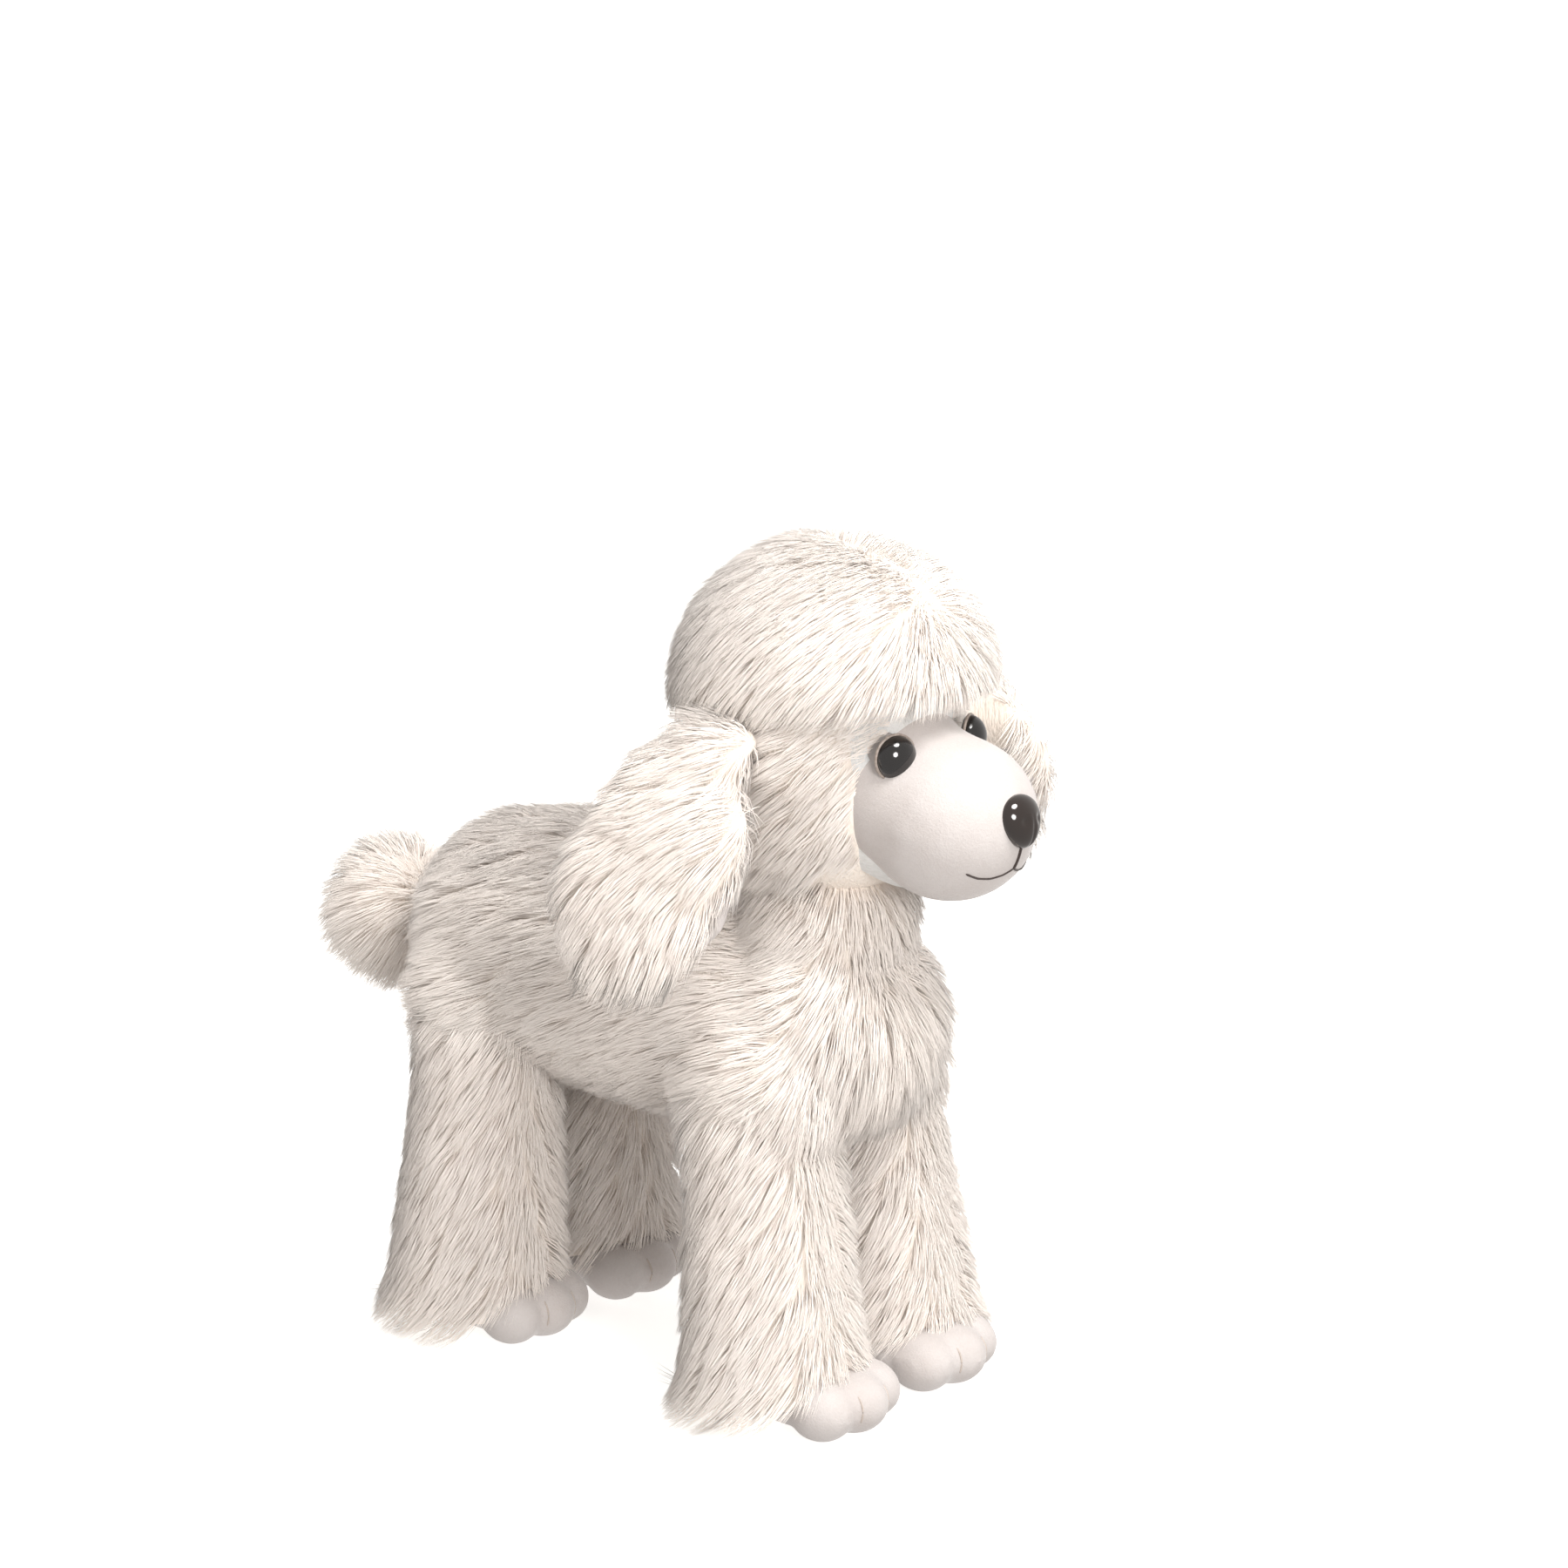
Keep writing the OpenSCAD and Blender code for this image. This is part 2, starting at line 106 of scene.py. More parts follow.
# %% [markdown]
# ## Camera, light and floor
# The toy stands in a plain white cove. A large soft light hangs above and in front of it, a
# weaker one stands in front of its face, and a dim warm world lifts the shadows. The cove is only
# a backdrop: it takes no part in lighting the toy, so the belly stays dark and the eyes black.

# %% Camera
def look_at(place, target):
    aim = Vector(target) - Vector(place)
    return aim.to_track_quat("-Z", "Y").to_euler()


CAMERA_AT = (-1033.9, -892.4, 534.8)
CAMERA_AIM = (-15.7, -76.7, 233.6)
camera = bpy.data.objects.new("camera", bpy.data.cameras.new("camera"))
camera.data.lens = 85
camera.data.sensor_width = 36
camera.location = Vector(CAMERA_AT) * MM
camera.rotation_euler = look_at(CAMERA_AT, CAMERA_AIM)
bpy.context.scene.collection.objects.link(camera)
bpy.context.scene.camera = camera
print("camera at", CAMERA_AT, "looks at", CAMERA_AIM)

# %% Light
view = bpy.context.scene.view_settings
view.view_transform = "Standard"


LAMP_COLOUR = (1.0, 0.98, 0.965)
WORLD_COLOUR, WORLD_STRENGTH = (1.0, 0.965, 0.935), 0.76
TOY_MIDDLE = (0, 0, 160)


def area_light(name, place, size, watts):
    """A round soft light that points at the middle of the toy."""
    lamp = bpy.data.lights.new(name, "AREA")
    lamp.shape = "DISK"
    lamp.size = size * MM
    lamp.energy = watts
    lamp.color = LAMP_COLOUR
    obj = bpy.data.objects.new(name, lamp)
    obj.location = Vector(place) * MM
    obj.rotation_euler = look_at(place, TOY_MIDDLE)
    bpy.context.scene.collection.objects.link(obj)
    print(f"{name} light: {size} mm wide, {watts} W")


area_light("key", (-120, -720, 1450), 600, 17.0)
area_light("front", (-700, -1250, 650), 500, 11.0)

world = bpy.data.worlds.new("studio")
world.use_nodes = True
background = world.node_tree.nodes["Background"]
background.inputs["Color"].default_value = (*WORLD_COLOUR, 1)
background.inputs["Strength"].default_value = WORLD_STRENGTH
bpy.context.scene.world = world


# %% [markdown]
# ## Materials as sums
# A material is easier to read as arithmetic than as a picture of nodes. Wire wraps one socket,
# so that 1 - mask or dots * 0.2 adds the Math nodes by itself, and Paint.node adds any other
# node from its type, its settings and what its sockets hold.

# %% A small language for materials
def plug(tree, socket, value):
    if isinstance(value, Wire):
        tree.links.new(value.socket, socket)
    elif isinstance(value, (tuple, list)) and len(value) == 3 and socket.type == "RGBA":
        socket.default_value = (*value, 1)
    else:
        socket.default_value = value


class Wire:
    """One output socket that can be added, multiplied and so on."""

    def __init__(self, tree, socket):
        self.tree, self.socket = tree, socket

    def math(self, operation, *values):
        node = self.tree.nodes.new("ShaderNodeMath")
        node.operation = operation
        for slot, value in zip(node.inputs, values):
            plug(self.tree, slot, value)
        return Wire(self.tree, node.outputs[0])

    def __add__(self, other):
        return self.math("ADD", self, other)

    __radd__ = __add__

    def __sub__(self, other):
        return self.math("SUBTRACT", self, other)

    def __rsub__(self, other):
        return self.math("SUBTRACT", other, self)

    def __mul__(self, other):
        return self.math("MULTIPLY", self, other)

    __rmul__ = __mul__


class Paint:
    """One material that is being mixed."""

    def __init__(self, name):
        self.material = bpy.data.materials.new(name)
        self.material.use_nodes = True
        self.tree = self.material.node_tree
        self.shader = self.tree.nodes["Principled BSDF"]

    def node(self, kind, settings=None, out=0, **sockets):
        node = self.tree.nodes.new(kind)
        for key, value in (settings or {}).items():
            if key == "stops":
                ramp = node.color_ramp.elements
                while len(ramp) < len(value):
                    ramp.new(0.5)
                for stop, (where, colour) in zip(ramp, value):
                    stop.position, stop.color = where, (*colour, 1)
            else:
                setattr(node, key, value)
        for key, value in sockets.items():
            socket = node.inputs[int(key[1:])] if key[0] == "_" else node.inputs[key.replace("_", " ")]
            plug(self.tree, socket, value)
        return Wire(self.tree, node.outputs[out])

    def place(self, scale=1.0):
        """Object coordinates in millimetres, divided by scale."""
        spot = self.node("ShaderNodeTexCoord", out=3)
        scales = scale if isinstance(scale, tuple) else (scale,) * 3
        return self.node("ShaderNodeMapping", Vector=spot, Scale=tuple(1 / (MM * s) for s in scales))

    def noise(self, scale, detail=2.0, roughness=0.5):
        return self.node("ShaderNodeTexNoise", Vector=self.place(scale), Scale=1.0, Detail=detail,
                         Roughness=roughness)

    def weave(self, scale, distortion):
        """Bands that are a little disturbed, like the twist of a thread."""
        return self.node("ShaderNodeTexWave", {"wave_type": "BANDS"}, Vector=self.place(scale), Scale=1.0,
                         Distortion=distortion)

    def ramp(self, factor, *stops):
        return self.node("ShaderNodeValToRGB", {"stops": stops}, Fac=factor)

    def mix(self, factor, a, b):
        return self.node("ShaderNodeMix", {"data_type": "RGBA"}, out=2, _0=factor, _6=a, _7=b)

    def bump(self, height, strength, distance):
        normal = self.node("ShaderNodeBump", Height=height, Strength=strength, Distance=distance * MM)
        plug(self.tree, self.shader.inputs["Normal"], normal)

    def set(self, **sockets):
        for key, value in sockets.items():
            plug(self.tree, self.shader.inputs[key.replace("_", " ")], value)


# %% [markdown]
# ## The finishes
# Faux fur is acrylic. Each hair is bright at its tip and browner towards its root. That browner root is painted
# shade, for the shade deep in the pile where light has bounced many times. Every hair carries two numbers in its
# map: its own tone across, and how far along the hair a point lies. Those two numbers are all that its colour
# needs.

# %% Fur
HAIR_MAP = "OFBake"


def fur_paint(name, painted_root_shade, tip, shade):
    paint = Paint(name)
    spot = paint.node("ShaderNodeUVMap", {"uv_map": HAIR_MAP})
    tone = paint.node("ShaderNodeSeparateXYZ", out=0, Vector=spot)
    along = paint.node("ShaderNodeSeparateXYZ", out=1, Vector=spot)
    # The ramp paints shade: darker at the root, and the fur's own bright colour from the middle of the hair to its
    # tip.
    colour = paint.ramp(along, (0.0, painted_root_shade), (0.55, tip), (1.0, tip))
    paint.set(Base_Color=paint.mix((1 - tone) * 0.55, colour, shade))
    paint.set(Roughness=0.6, Specular_IOR_Level=0.3, Sheen_Weight=0.2, Sheen_Roughness=0.4)
    return paint.material


# The root colour is painted shade deep in the pile; the tip and tone colours are the fur's own.
IVORY_ROOT_PAINTED_SHADE = (0.97, 0.85, 0.76)
IVORY_TIP = (1.0, 0.945, 0.89)
IVORY_SHADE = (0.985, 0.89, 0.82)
fur_finish = fur_paint("ivory_fur", IVORY_ROOT_PAINTED_SHADE, IVORY_TIP, IVORY_SHADE)
print("fur:", fur_finish.name)


def backing_paint():
    """The knitted backing under the pile, seen only where the hairs part."""
    paint = Paint("fur_backing")
    streak = paint.noise((1.2, 1.2, 7.0), detail=4)
    patch = paint.noise(26.0)
    colour = paint.ramp(streak * 0.6 + patch * 0.4, (0.3, (0.90, 0.79, 0.69)), (0.7, (0.96, 0.89, 0.81)))
    paint.set(Base_Color=colour, Roughness=0.9, Sheen_Weight=0.3)
    paint.bump(streak, 0.8, 1.5)
    return paint.material


backing_finish = backing_paint()


# %% [markdown]
# The face, the paws and the ear linings are short plush, called minky: a velvet of millimetre
# hairs. It reads as a soft white with a fine grain, a few lazy nap marks, and a bright rim where
# the eye meets it edge on, which is what sheen gives.

# %% Short plush
def plush_paint(name, pale, deep):
    paint = Paint(name)
    nap = paint.noise(17.0, detail=3)
    grain = paint.noise(0.9, detail=3, roughness=0.7)
    colour = paint.ramp(nap * 0.55 + grain * 0.45, (0.32, deep), (0.62, pale))
    paint.set(Base_Color=colour, Roughness=0.85, Sheen_Weight=0.45, Sheen_Roughness=0.35)
    paint.bump(grain * 0.7 + nap * 0.3, 0.5, 0.8)
    return paint.material


plush_finish = plush_paint("white_minky", (0.60, 0.565, 0.55), (0.54, 0.495, 0.475))
print("plush:", plush_finish.name)


# %% [markdown]
# The eyes and the nose are moulded and polished. The eye is plain black. The nose is a very dark
# brown with a trace of moulded unevenness that breaks its highlights.

# %% Polished plastic, thread, fibre and washers
def polished_paint(name, colour, ripple):
    paint = Paint(name)
    wave = paint.noise(3.5, detail=2)
    haze = paint.noise(1.4, detail=3)
    paint.set(Base_Color=colour, Roughness=0.06 + haze * 0.08, Coat_Weight=0.6, Coat_Roughness=0.03)
    paint.bump(wave, ripple, 0.4)
    return paint.material


eye_finish = polished_paint("black_eye", (0.006, 0.005, 0.005), 0.02)
nose_finish = polished_paint("dark_nose", (0.014, 0.008, 0.006), 0.12)


def rim_paint():
    paint = Paint("eye_rim")
    haze = paint.noise(1.2, detail=2)
    colour = paint.ramp(haze, (0.3, (0.26, 0.21, 0.18)), (0.7, (0.40, 0.34, 0.30)))
    paint.set(Base_Color=colour, Roughness=0.35)
    return paint.material


rim_finish = rim_paint()


def thread_paint(name, dark, light, roughness):
    paint = Paint(name)
    twist = paint.weave(0.5, 2.0)
    paint.set(Base_Color=paint.ramp(twist, (0.2, dark), (0.9, light)), Roughness=roughness, Sheen_Weight=0.2)
    paint.bump(twist, 0.4, 0.3)
    return paint.material


dark_thread_finish = thread_paint("dark_thread", (0.02, 0.012, 0.01), (0.075, 0.05, 0.042), 0.7)
# The toe seams are real thread, but this thread is coloured like the plush in shade: painted crease shade between
# the toes.
toe_thread_crease_shade_finish = thread_paint("toe_thread_crease_shade", (0.50, 0.43, 0.38), (0.66, 0.58, 0.52), 0.8)


def fill_paint():
    paint = Paint("fibre_fill")
    wisps = paint.noise((1.0, 4.0, 2.0), detail=5, roughness=0.7)
    colour = paint.ramp(wisps, (0.3, (0.78, 0.78, 0.76)), (0.7, (0.93, 0.93, 0.92)))
    paint.set(Base_Color=colour, Roughness=0.95, Sheen_Weight=0.3)
    paint.bump(wisps, 0.8, 1.5)
    return paint.material


def washer_paint():
    paint = Paint("moulded_washer")
    flow = paint.noise(2.0, detail=2)
    colour = paint.ramp(flow, (0.3, (0.74, 0.74, 0.72)), (0.7, (0.84, 0.84, 0.82)))
    paint.set(Base_Color=colour, Roughness=0.42 + flow * 0.1)
    paint.bump(flow, 0.1, 0.2)
    return paint.material


inner_finishes = {"fill": fill_paint(), "white_plastic": washer_paint()}
for part in frame["record"]["subparts"]:
    finish = inner_finishes.get(part["material_slot"])
    if finish:
        mesh = frame["nodes"][part["node"]].data
        mesh.materials.clear()
        mesh.materials.append(finish)
print("finishes for the pieces inside:", sorted(inner_finishes))


# %% Floor and cove
def cove_paint(name, glow):
    paint = Paint(name)
    paint.set(Base_Color=(0.93, 0.925, 0.915), Roughness=0.9, Emission_Color=(1, 1, 0.985),
              Emission_Strength=glow)
    return paint.material


bpy.ops.mesh.primitive_plane_add(size=9, location=(0, 0, -0.5 * MM))
floor = bpy.context.active_object
floor.name = "floor"
floor.data.materials.append(cove_paint("paper_floor", 0.62))
bpy.ops.mesh.primitive_uv_sphere_add(segments=48, ring_count=24, radius=5)
cove = bpy.context.active_object
cove.name = "cove"
cove.data.materials.append(cove_paint("paper_cove", 1.0))
for backdrop in (floor, cove):
    backdrop.visible_diffuse = backdrop.visible_glossy = False
cove.visible_shadow = False
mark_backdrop(floor, cove)


# %% [markdown]
# ## Padded skins
# Each stuffed part starts as a few overlapping rounds. A voxel remesh welds them into one closed
# skin, smoothing takes away the creases between them, and a short cloth run with air pressure
# inside lets the fabric swell and settle as filled fabric does.

# %% Rounds, welding and puffing
def round_form(bm, centre, semi, turn=(0, 0, 0)):
    """One ellipsoid, in millimetres, turned by degrees about X, Y and Z."""
    spin = Euler([math.radians(a) for a in turn]).to_matrix().to_4x4()
    size = Matrix.Diagonal((*[s * MM for s in semi], 1))
    place = Matrix.Translation(Vector(centre) * MM)
    bmesh.ops.create_icosphere(bm, subdivisions=4, radius=1, matrix=place @ spin @ size)


def tube_form(bm, start, end, r_start, r_end):
    """A capped tube between two points, in millimetres."""
    a, b = Vector(start) * MM, Vector(end) * MM
    turn = (b - a).to_track_quat("Z", "Y").to_matrix().to_4x4()
    place = Matrix.Translation((a + b) / 2) @ turn
    bmesh.ops.create_cone(bm, cap_ends=True, segments=40, radius1=r_start * MM, radius2=r_end * MM,
                          depth=(b - a).length, matrix=place)


def add_object(name, mesh):
    obj = bpy.data.objects.new(name, mesh)
    bpy.context.scene.collection.objects.link(obj)
    return obj


def settle(obj):
    """Replace the mesh by what its modifiers make of it."""
    graph = bpy.context.evaluated_depsgraph_get()
    made = bpy.data.meshes.new_from_object(obj.evaluated_get(graph))
    old = obj.data
    obj.modifiers.clear()
    obj.data = made
    bpy.data.meshes.remove(old)


def weld(name, build, voxel, rounds=6):
    """Fill a bmesh with build, weld it by voxels and smooth it."""
    bm = bmesh.new()
    build(bm)
    mesh = bpy.data.meshes.new(name)
    bm.to_mesh(mesh)
    bm.free()
    obj = add_object(name, mesh)
    remesh = obj.modifiers.new("weld", "REMESH")
    remesh.mode = "VOXEL"
    remesh.voxel_size = voxel * MM
    smooth = obj.modifiers.new("smooth", "SMOOTH")
    smooth.factor = 0.5
    smooth.iterations = rounds
    settle(obj)
    obj.data.polygons.foreach_set("use_smooth", [True] * len(obj.data.polygons))
    return obj


def positions(mesh):
    flat = np.empty(len(mesh.vertices) * 3)
    mesh.vertices.foreach_get("co", flat)
    return flat.reshape(-1, 3)


def puff(obj, pressure=4.0, cap=4.0, frames=20):
    """Swell the skin with air, and keep each point within cap millimetres of where it was."""
    scene = bpy.context.scene
    start = positions(obj.data)
    cloth = obj.modifiers.new("cloth", "CLOTH")
    cloth.settings.quality = 4
    cloth.settings.mass = 0.3
    cloth.settings.use_pressure = True
    cloth.settings.uniform_pressure_force = pressure
    cloth.settings.effector_weights.gravity = 0
    cloth.collision_settings.use_collision = False
    for number in range(1, frames + 1):
        scene.frame_set(number)
    graph = bpy.context.evaluated_depsgraph_get()
    swollen = positions(obj.evaluated_get(graph).data)
    obj.modifiers.clear()
    scene.frame_set(1)
    step = swollen - start
    reach = np.linalg.norm(step, axis=1, keepdims=True)
    step *= np.minimum(1, cap * MM / np.maximum(reach, 1e-9))
    obj.data.vertices.foreach_set("co", (start + step).ravel())
    obj.data.update()
    print(f"{obj.name}: puffed by up to {min(reach.max() / MM, cap):.1f} mm")


def dress(obj, body, slot, finish, fill, *nodes):
    """Give a finished skin its material, hang it on its body and hide the plain solids that it replaces."""
    obj.data.materials.clear()
    obj.data.materials.append(finish)
    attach(obj, body)
    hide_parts(*nodes)


# %% [markdown]
# ## Hair
# One hair is a three-sided cone, cut across so that it can bend, and it is modelled once. A coat
# is that hair laid tens of thousands of times. Each copy is bent along its own short curve: it
# leaves the skin at its lift angle, follows the comb direction, and leans towards the tip of the
# lock that it belongs to, so that the coat breaks into locks as real pile does.

# %% The one hair
def model_hair(cuts):
    """A unit hair along Z: its points and faces."""
    bm = bmesh.new()
    bmesh.ops.create_cone(bm, cap_ends=True, segments=3, radius1=1, radius2=0, depth=1,
                          matrix=Matrix.Translation((0, 0, 0.5)))
    for cut in cuts:
        bmesh.ops.bisect_plane(bm, geom=bm.verts[:] + bm.edges[:] + bm.faces[:],
                               plane_co=(0, 0, cut), plane_no=(0, 0, 1))
    bmesh.ops.remove_doubles(bm, verts=bm.verts[:], dist=1e-5)
    bmesh.ops.recalc_face_normals(bm, faces=bm.faces[:])
    bm.verts.ensure_lookup_table()
    points = np.array([v.co[:] for v in bm.verts])
    faces = [[v.index for v in f.verts] for f in bm.faces]
    bm.free()
    return points, faces


LONG_HAIR = model_hair((0.5,))
print("one hair has", sum(len(f) - 2 for f in LONG_HAIR[1]), "triangles")


# %% Points on a skin
def skin_arrays(obj):
    """Points, normals and triangles of a skin, in millimetres."""
    mesh = obj.data
    mesh.calc_loop_triangles()
    spots = positions(mesh) / MM
    normals = np.empty(len(mesh.vertices) * 3)
    mesh.vertices.foreach_get("normal", normals)
    corners = np.empty(len(mesh.loop_triangles) * 3, int)
    mesh.loop_triangles.foreach_get("vertices", corners)
    return spots, normals.reshape(-1, 3), corners.reshape(-1, 3)


def scatter(obj, count, rng):
    """Random points on a skin, evenly by area, with their normals."""
    spots, normals, corners = skin_arrays(obj)
    a, b, c = (spots[corners[:, i]] for i in range(3))
    area = np.linalg.norm(np.cross(b - a, c - a), axis=1)
    pick = rng.choice(len(corners), size=count, p=area / area.sum())
    u, v = np.sqrt(rng.random(count)), rng.random(count)
    weights = np.stack([1 - u, u * (1 - v), u * v], 1)
    place = np.einsum("ij,ijk->ik", weights, spots[corners[pick]])
    normal = unit(np.einsum("ij,ijk->ik", weights, normals[corners[pick]]))
    return place, normal


def unit(v):
    return v / np.maximum(np.linalg.norm(v, axis=-1, keepdims=True), 1e-9)


def wavy(p, scale, seed):
    """A smooth random field from -1 to 1: three sine waves at odd angles for each of three numbers."""
    rng = np.random.default_rng(seed)
    out = np.zeros((len(p), 3))
    for _ in range(4):
        out += np.sin(p @ (rng.normal(size=(3, 3)) / scale) + rng.random(3) * 6.28)
    return out / 4


# %% Locks and bent copies
HAIR_WIDTH = 0.42 * 1
ROOT_DEPTH = 1.2  # how far under the skin a hair starts
SAG = np.array([0, 0, -0.12])  # how far a hair's tip hangs, for each millimetre of its length
LOCK_SIZE = 7.0
HEAD_SHARE = 0.09 / (LOCK_SIZE / 3) ** 2  # share of the hairs that head a lock
MOST_HAIRS = 19000  # in one piece


def find_locks(place, rng):
    """Some hairs are the heads of locks. Returns them, and which of them is nearest to each hair."""
    heads = rng.choice(len(place), size=max(1, int(len(place) * HEAD_SHARE)), replace=False)
    tree = KDTree(len(heads))
    for number, spot in enumerate(place[heads]):
        tree.insert(spot, number)
    tree.balance()
    return heads, np.array([tree.find(spot)[1] for spot in place])


def bend_copies(base, knee, tip, normal, thick):
    """Bend a copy of the one hair along each curve. Returns its points and its centre line."""
    points, _ = LONG_HAIR
    t = points[:, 2][None, :, None]
    path = (1 - t) ** 2 * base[:, None] + 2 * t * (1 - t) * knee[:, None] + t ** 2 * tip[:, None]
    along = unit(2 * (1 - t) * (knee - base)[:, None] + 2 * t * (tip - knee)[:, None])
    side = unit(np.cross(along, normal[:, None]))
    up = np.cross(along, side)
    spread = np.hypot(points[:, 0], points[:, 1])
    angle = np.arctan2(points[:, 1], points[:, 0])
    ring = np.where(spread > 1e-6, (spread ** 0.6), 0)[None, :, None] * thick
    return path + ring * (np.cos(angle)[None, :, None] * side + np.sin(angle)[None, :, None] * up), path


# %% Laying a coat
def lay_coat(name, skin, body, comb, count, seed, clump=0.35, wild=0.10):
    """Cover a skin with hair. comb(places, normals) gives direction, length, lift and where to keep."""
    rng = np.random.default_rng(seed)
    place, normal = scatter(skin, count, rng)
    heading, length, lift, keep = comb(place, normal)
    place, normal, heading = place[keep], normal[keep], heading[keep]
    length = np.broadcast_to(length, keep.shape)[keep] * (0.78 + 0.32 * rng.random(keep.sum()))
    lift = np.broadcast_to(lift, keep.shape)[keep]
    total = len(place)

    heading = heading + wild * wavy(place, 14.0, seed) + wild * 0.8 * rng.normal(size=(total, 3))
    heading = unit(heading - normal * np.sum(heading * normal, 1, keepdims=True))
    rise = np.radians(lift * (0.8 + 0.4 * rng.random(total)))[:, None]
    out = normal * np.sin(rise) + heading * np.cos(rise)
    reach = length[:, None]
    knee = place + reach * 0.45 * unit(out + normal * 0.45)
    tip = place + reach * unit(out + SAG)
    tip[:, 2] = np.maximum(tip[:, 2], 0.6 + 1.5 * rng.random(total))

    heads, nearest = find_locks(place, rng)
    chief = heads[nearest]
    pull = clump * (0.6 + 0.8 * rng.random(total))[:, None]
    tip = tip + pull * (tip[chief] - tip)
    knee = knee + pull * 0.35 * (knee[chief] - knee)
    thick = HAIR_WIDTH * (0.75 + 0.5 * rng.random(total))[:, None, None] / 2
    where, path = bend_copies(place - normal * ROOT_DEPTH, knee, tip, normal, thick)

    lock_tone = rng.random(len(heads))[nearest]
    drift = 0.5 + 0.5 * wavy(place, 22.0, seed + 9)[:, 0]
    tone = np.clip(0.25 * rng.random(total) + 0.3 * lock_tone + 0.45 * drift, 0.03, 0.97)
    points, faces = LONG_HAIR
    edge = np.cos(np.arctan2(points[:, 1], points[:, 0]))
    hair_map = np.stack([np.broadcast_to(tone[:, None], where.shape[:2]) + 0.02 * edge[None, :],
                         np.broadcast_to(points[:, 2][None, :], where.shape[:2])], 2).clip(0.001, 0.999)

    bright = unit(0.6 * normal[:, None] + 0.4 * unit(where - path))
    order = np.argsort(place[:, 1] + 0.001 * place[:, 2])
    pieces = []
    chunks = max(1, math.ceil(total / MOST_HAIRS))
    for number, part in enumerate(np.array_split(order, chunks)):
        label = f"{name}_{number + 1}" if chunks > 1 else name
        piece = coat_piece(label, where[part], hair_map[part], bright[part], faces)
        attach(piece, body)
        pieces.append(piece)
    print(f"{name}: {total} hairs in {len(pieces)} pieces")
    return pieces


def coat_piece(name, where, uv, bright, faces):
    """One mesh that holds many copies of the hair. Its normals lean towards the skin's own, which
    lets a coat shade as one soft surface, as the light that fine fibres pass on makes it do."""
    count, points = where.shape[:2]
    sizes = np.tile([len(f) for f in faces], count)
    one = np.concatenate([np.array(f) for f in faces])
    corner = (one[None, :] + np.arange(count)[:, None] * points).ravel()
    mesh = bpy.data.meshes.new(name)
    mesh.vertices.add(count * points)
    mesh.vertices.foreach_set("co", (where * MM).astype(np.float32).ravel())
    mesh.loops.add(len(corner))
    mesh.loops.foreach_set("vertex_index", corner.astype(np.int32))
    mesh.polygons.add(len(sizes))
    mesh.polygons.foreach_set("loop_start", np.concatenate([[0], np.cumsum(sizes)[:-1]]).astype(np.int32))
    mesh.update(calc_edges=True)
    mesh.polygons.foreach_set("use_smooth", np.ones(len(sizes), bool))
    layer = mesh.uv_layers.new(name=HAIR_MAP)
    layer.uv.foreach_set("vector", uv.reshape(-1, 2)[corner].astype(np.float32).ravel())
    mesh.materials.append(fur_finish)
    mesh.validate()
    mesh.normals_split_custom_set_from_vertices(bright.reshape(-1, 3))
    return add_object(name, mesh)


def steer(place, *parts):
    """A direction for every point: the sum of fixed vectors, each with a weight at every point."""
    total = np.zeros((len(place), 3))
    for weight, vector in parts:
        total += weight[:, None] * np.array(vector, float)
    return total


def ease(value, start, end):
    """Rises smoothly from 0 at start to 1 at end."""
    t = np.clip((value - start) / (end - start), 0, 1)
    return t * t * (3 - 2 * t)


# %% [markdown]
# ## Where the forms lie
# The nodes of the frame are drawn to the tips of the pile. A skin lies under its pile, so every
# form below is smaller than its node by about the height that the leaning hairs reach.

# %% Measures
PILE = 8.0
MUZZLE_R = 31.5
LEG_SPREAD = 0.0384  # how far a leg spreads sideways for each millimetre that it drops
HEM_BEHIND_PAW = 18
tail_at = pivot("tail_wag")
topknot_lo, topknot_hi = low("topknot_fur"), high("topknot_fur")
topknot_r = (topknot_hi[0] - topknot_lo[0]) / 2
topknot_at = np.array([0, middle("topknot_fur")[1], topknot_hi[2] - topknot_r])
skull_hi = high("head_stuffing")
skull_r = skull_hi[0]
skull_at = np.array([0, skull_hi[1] - skull_r, skull_hi[2] - skull_r])
cheek_r = high("head_fur")[0]
cheek_at = np.array([0, skull_at[1] - 4, skull_at[2] - 15])
muzzle_at = np.array([0, low("muzzle_plush")[1] + MUZZLE_R, skull_at[2] - 24])
tail_ball_r = high("tail_fur")[0]
tail_ball_at = middle("tail_fur")
seam_z = topknot_at[2] - 5
for label, spot in (("skull", skull_at), ("topknot", topknot_at), ("muzzle", muzzle_at)):
    print(label, "at", spot.round(1))

LEGS = [(end, side) for end in ("front", "rear") for side in (RIGHT, LEFT)]


def leg_name(end, side):
    return f"{end}_{SIDE_NAMES[side]}_leg"


def hip(end, side):
    return pivot(leg_name(end, side) + "_swing")


def paw_middle(end, side):
    return middle(f"{end}_{SIDE_NAMES[side]}_paw")


def hem_middle(end, side):
    """Where the middle of the leg would reach the floor, behind the middle of the paw."""
    top, paw = hip(end, side), paw_middle(end, side)
    return np.array([top[0] + side * LEG_SPREAD * top[2], paw[1] + HEM_BEHIND_PAW, 0])


# %% [markdown]
# ## The body
# The trunk is one padded roll that rises gently towards the tail. Two rounds in front of it make
# the chest and the short thick neck, and one round over each hip makes a shoulder or a haunch.

# %% Trunk skin
TRUNK = [(-90, 36.5), (-62, 46), (-25, 49), (10, 50), (40, 49), (59, 44)]  # y and radius
CHEST_AT, NECK_AT = (0, -91, 150), (0, -86, 186)


def axis_z(y):
    """Height of the trunk's middle line."""
    return 150.5 + (y - 8) * math.tan(math.radians(4))


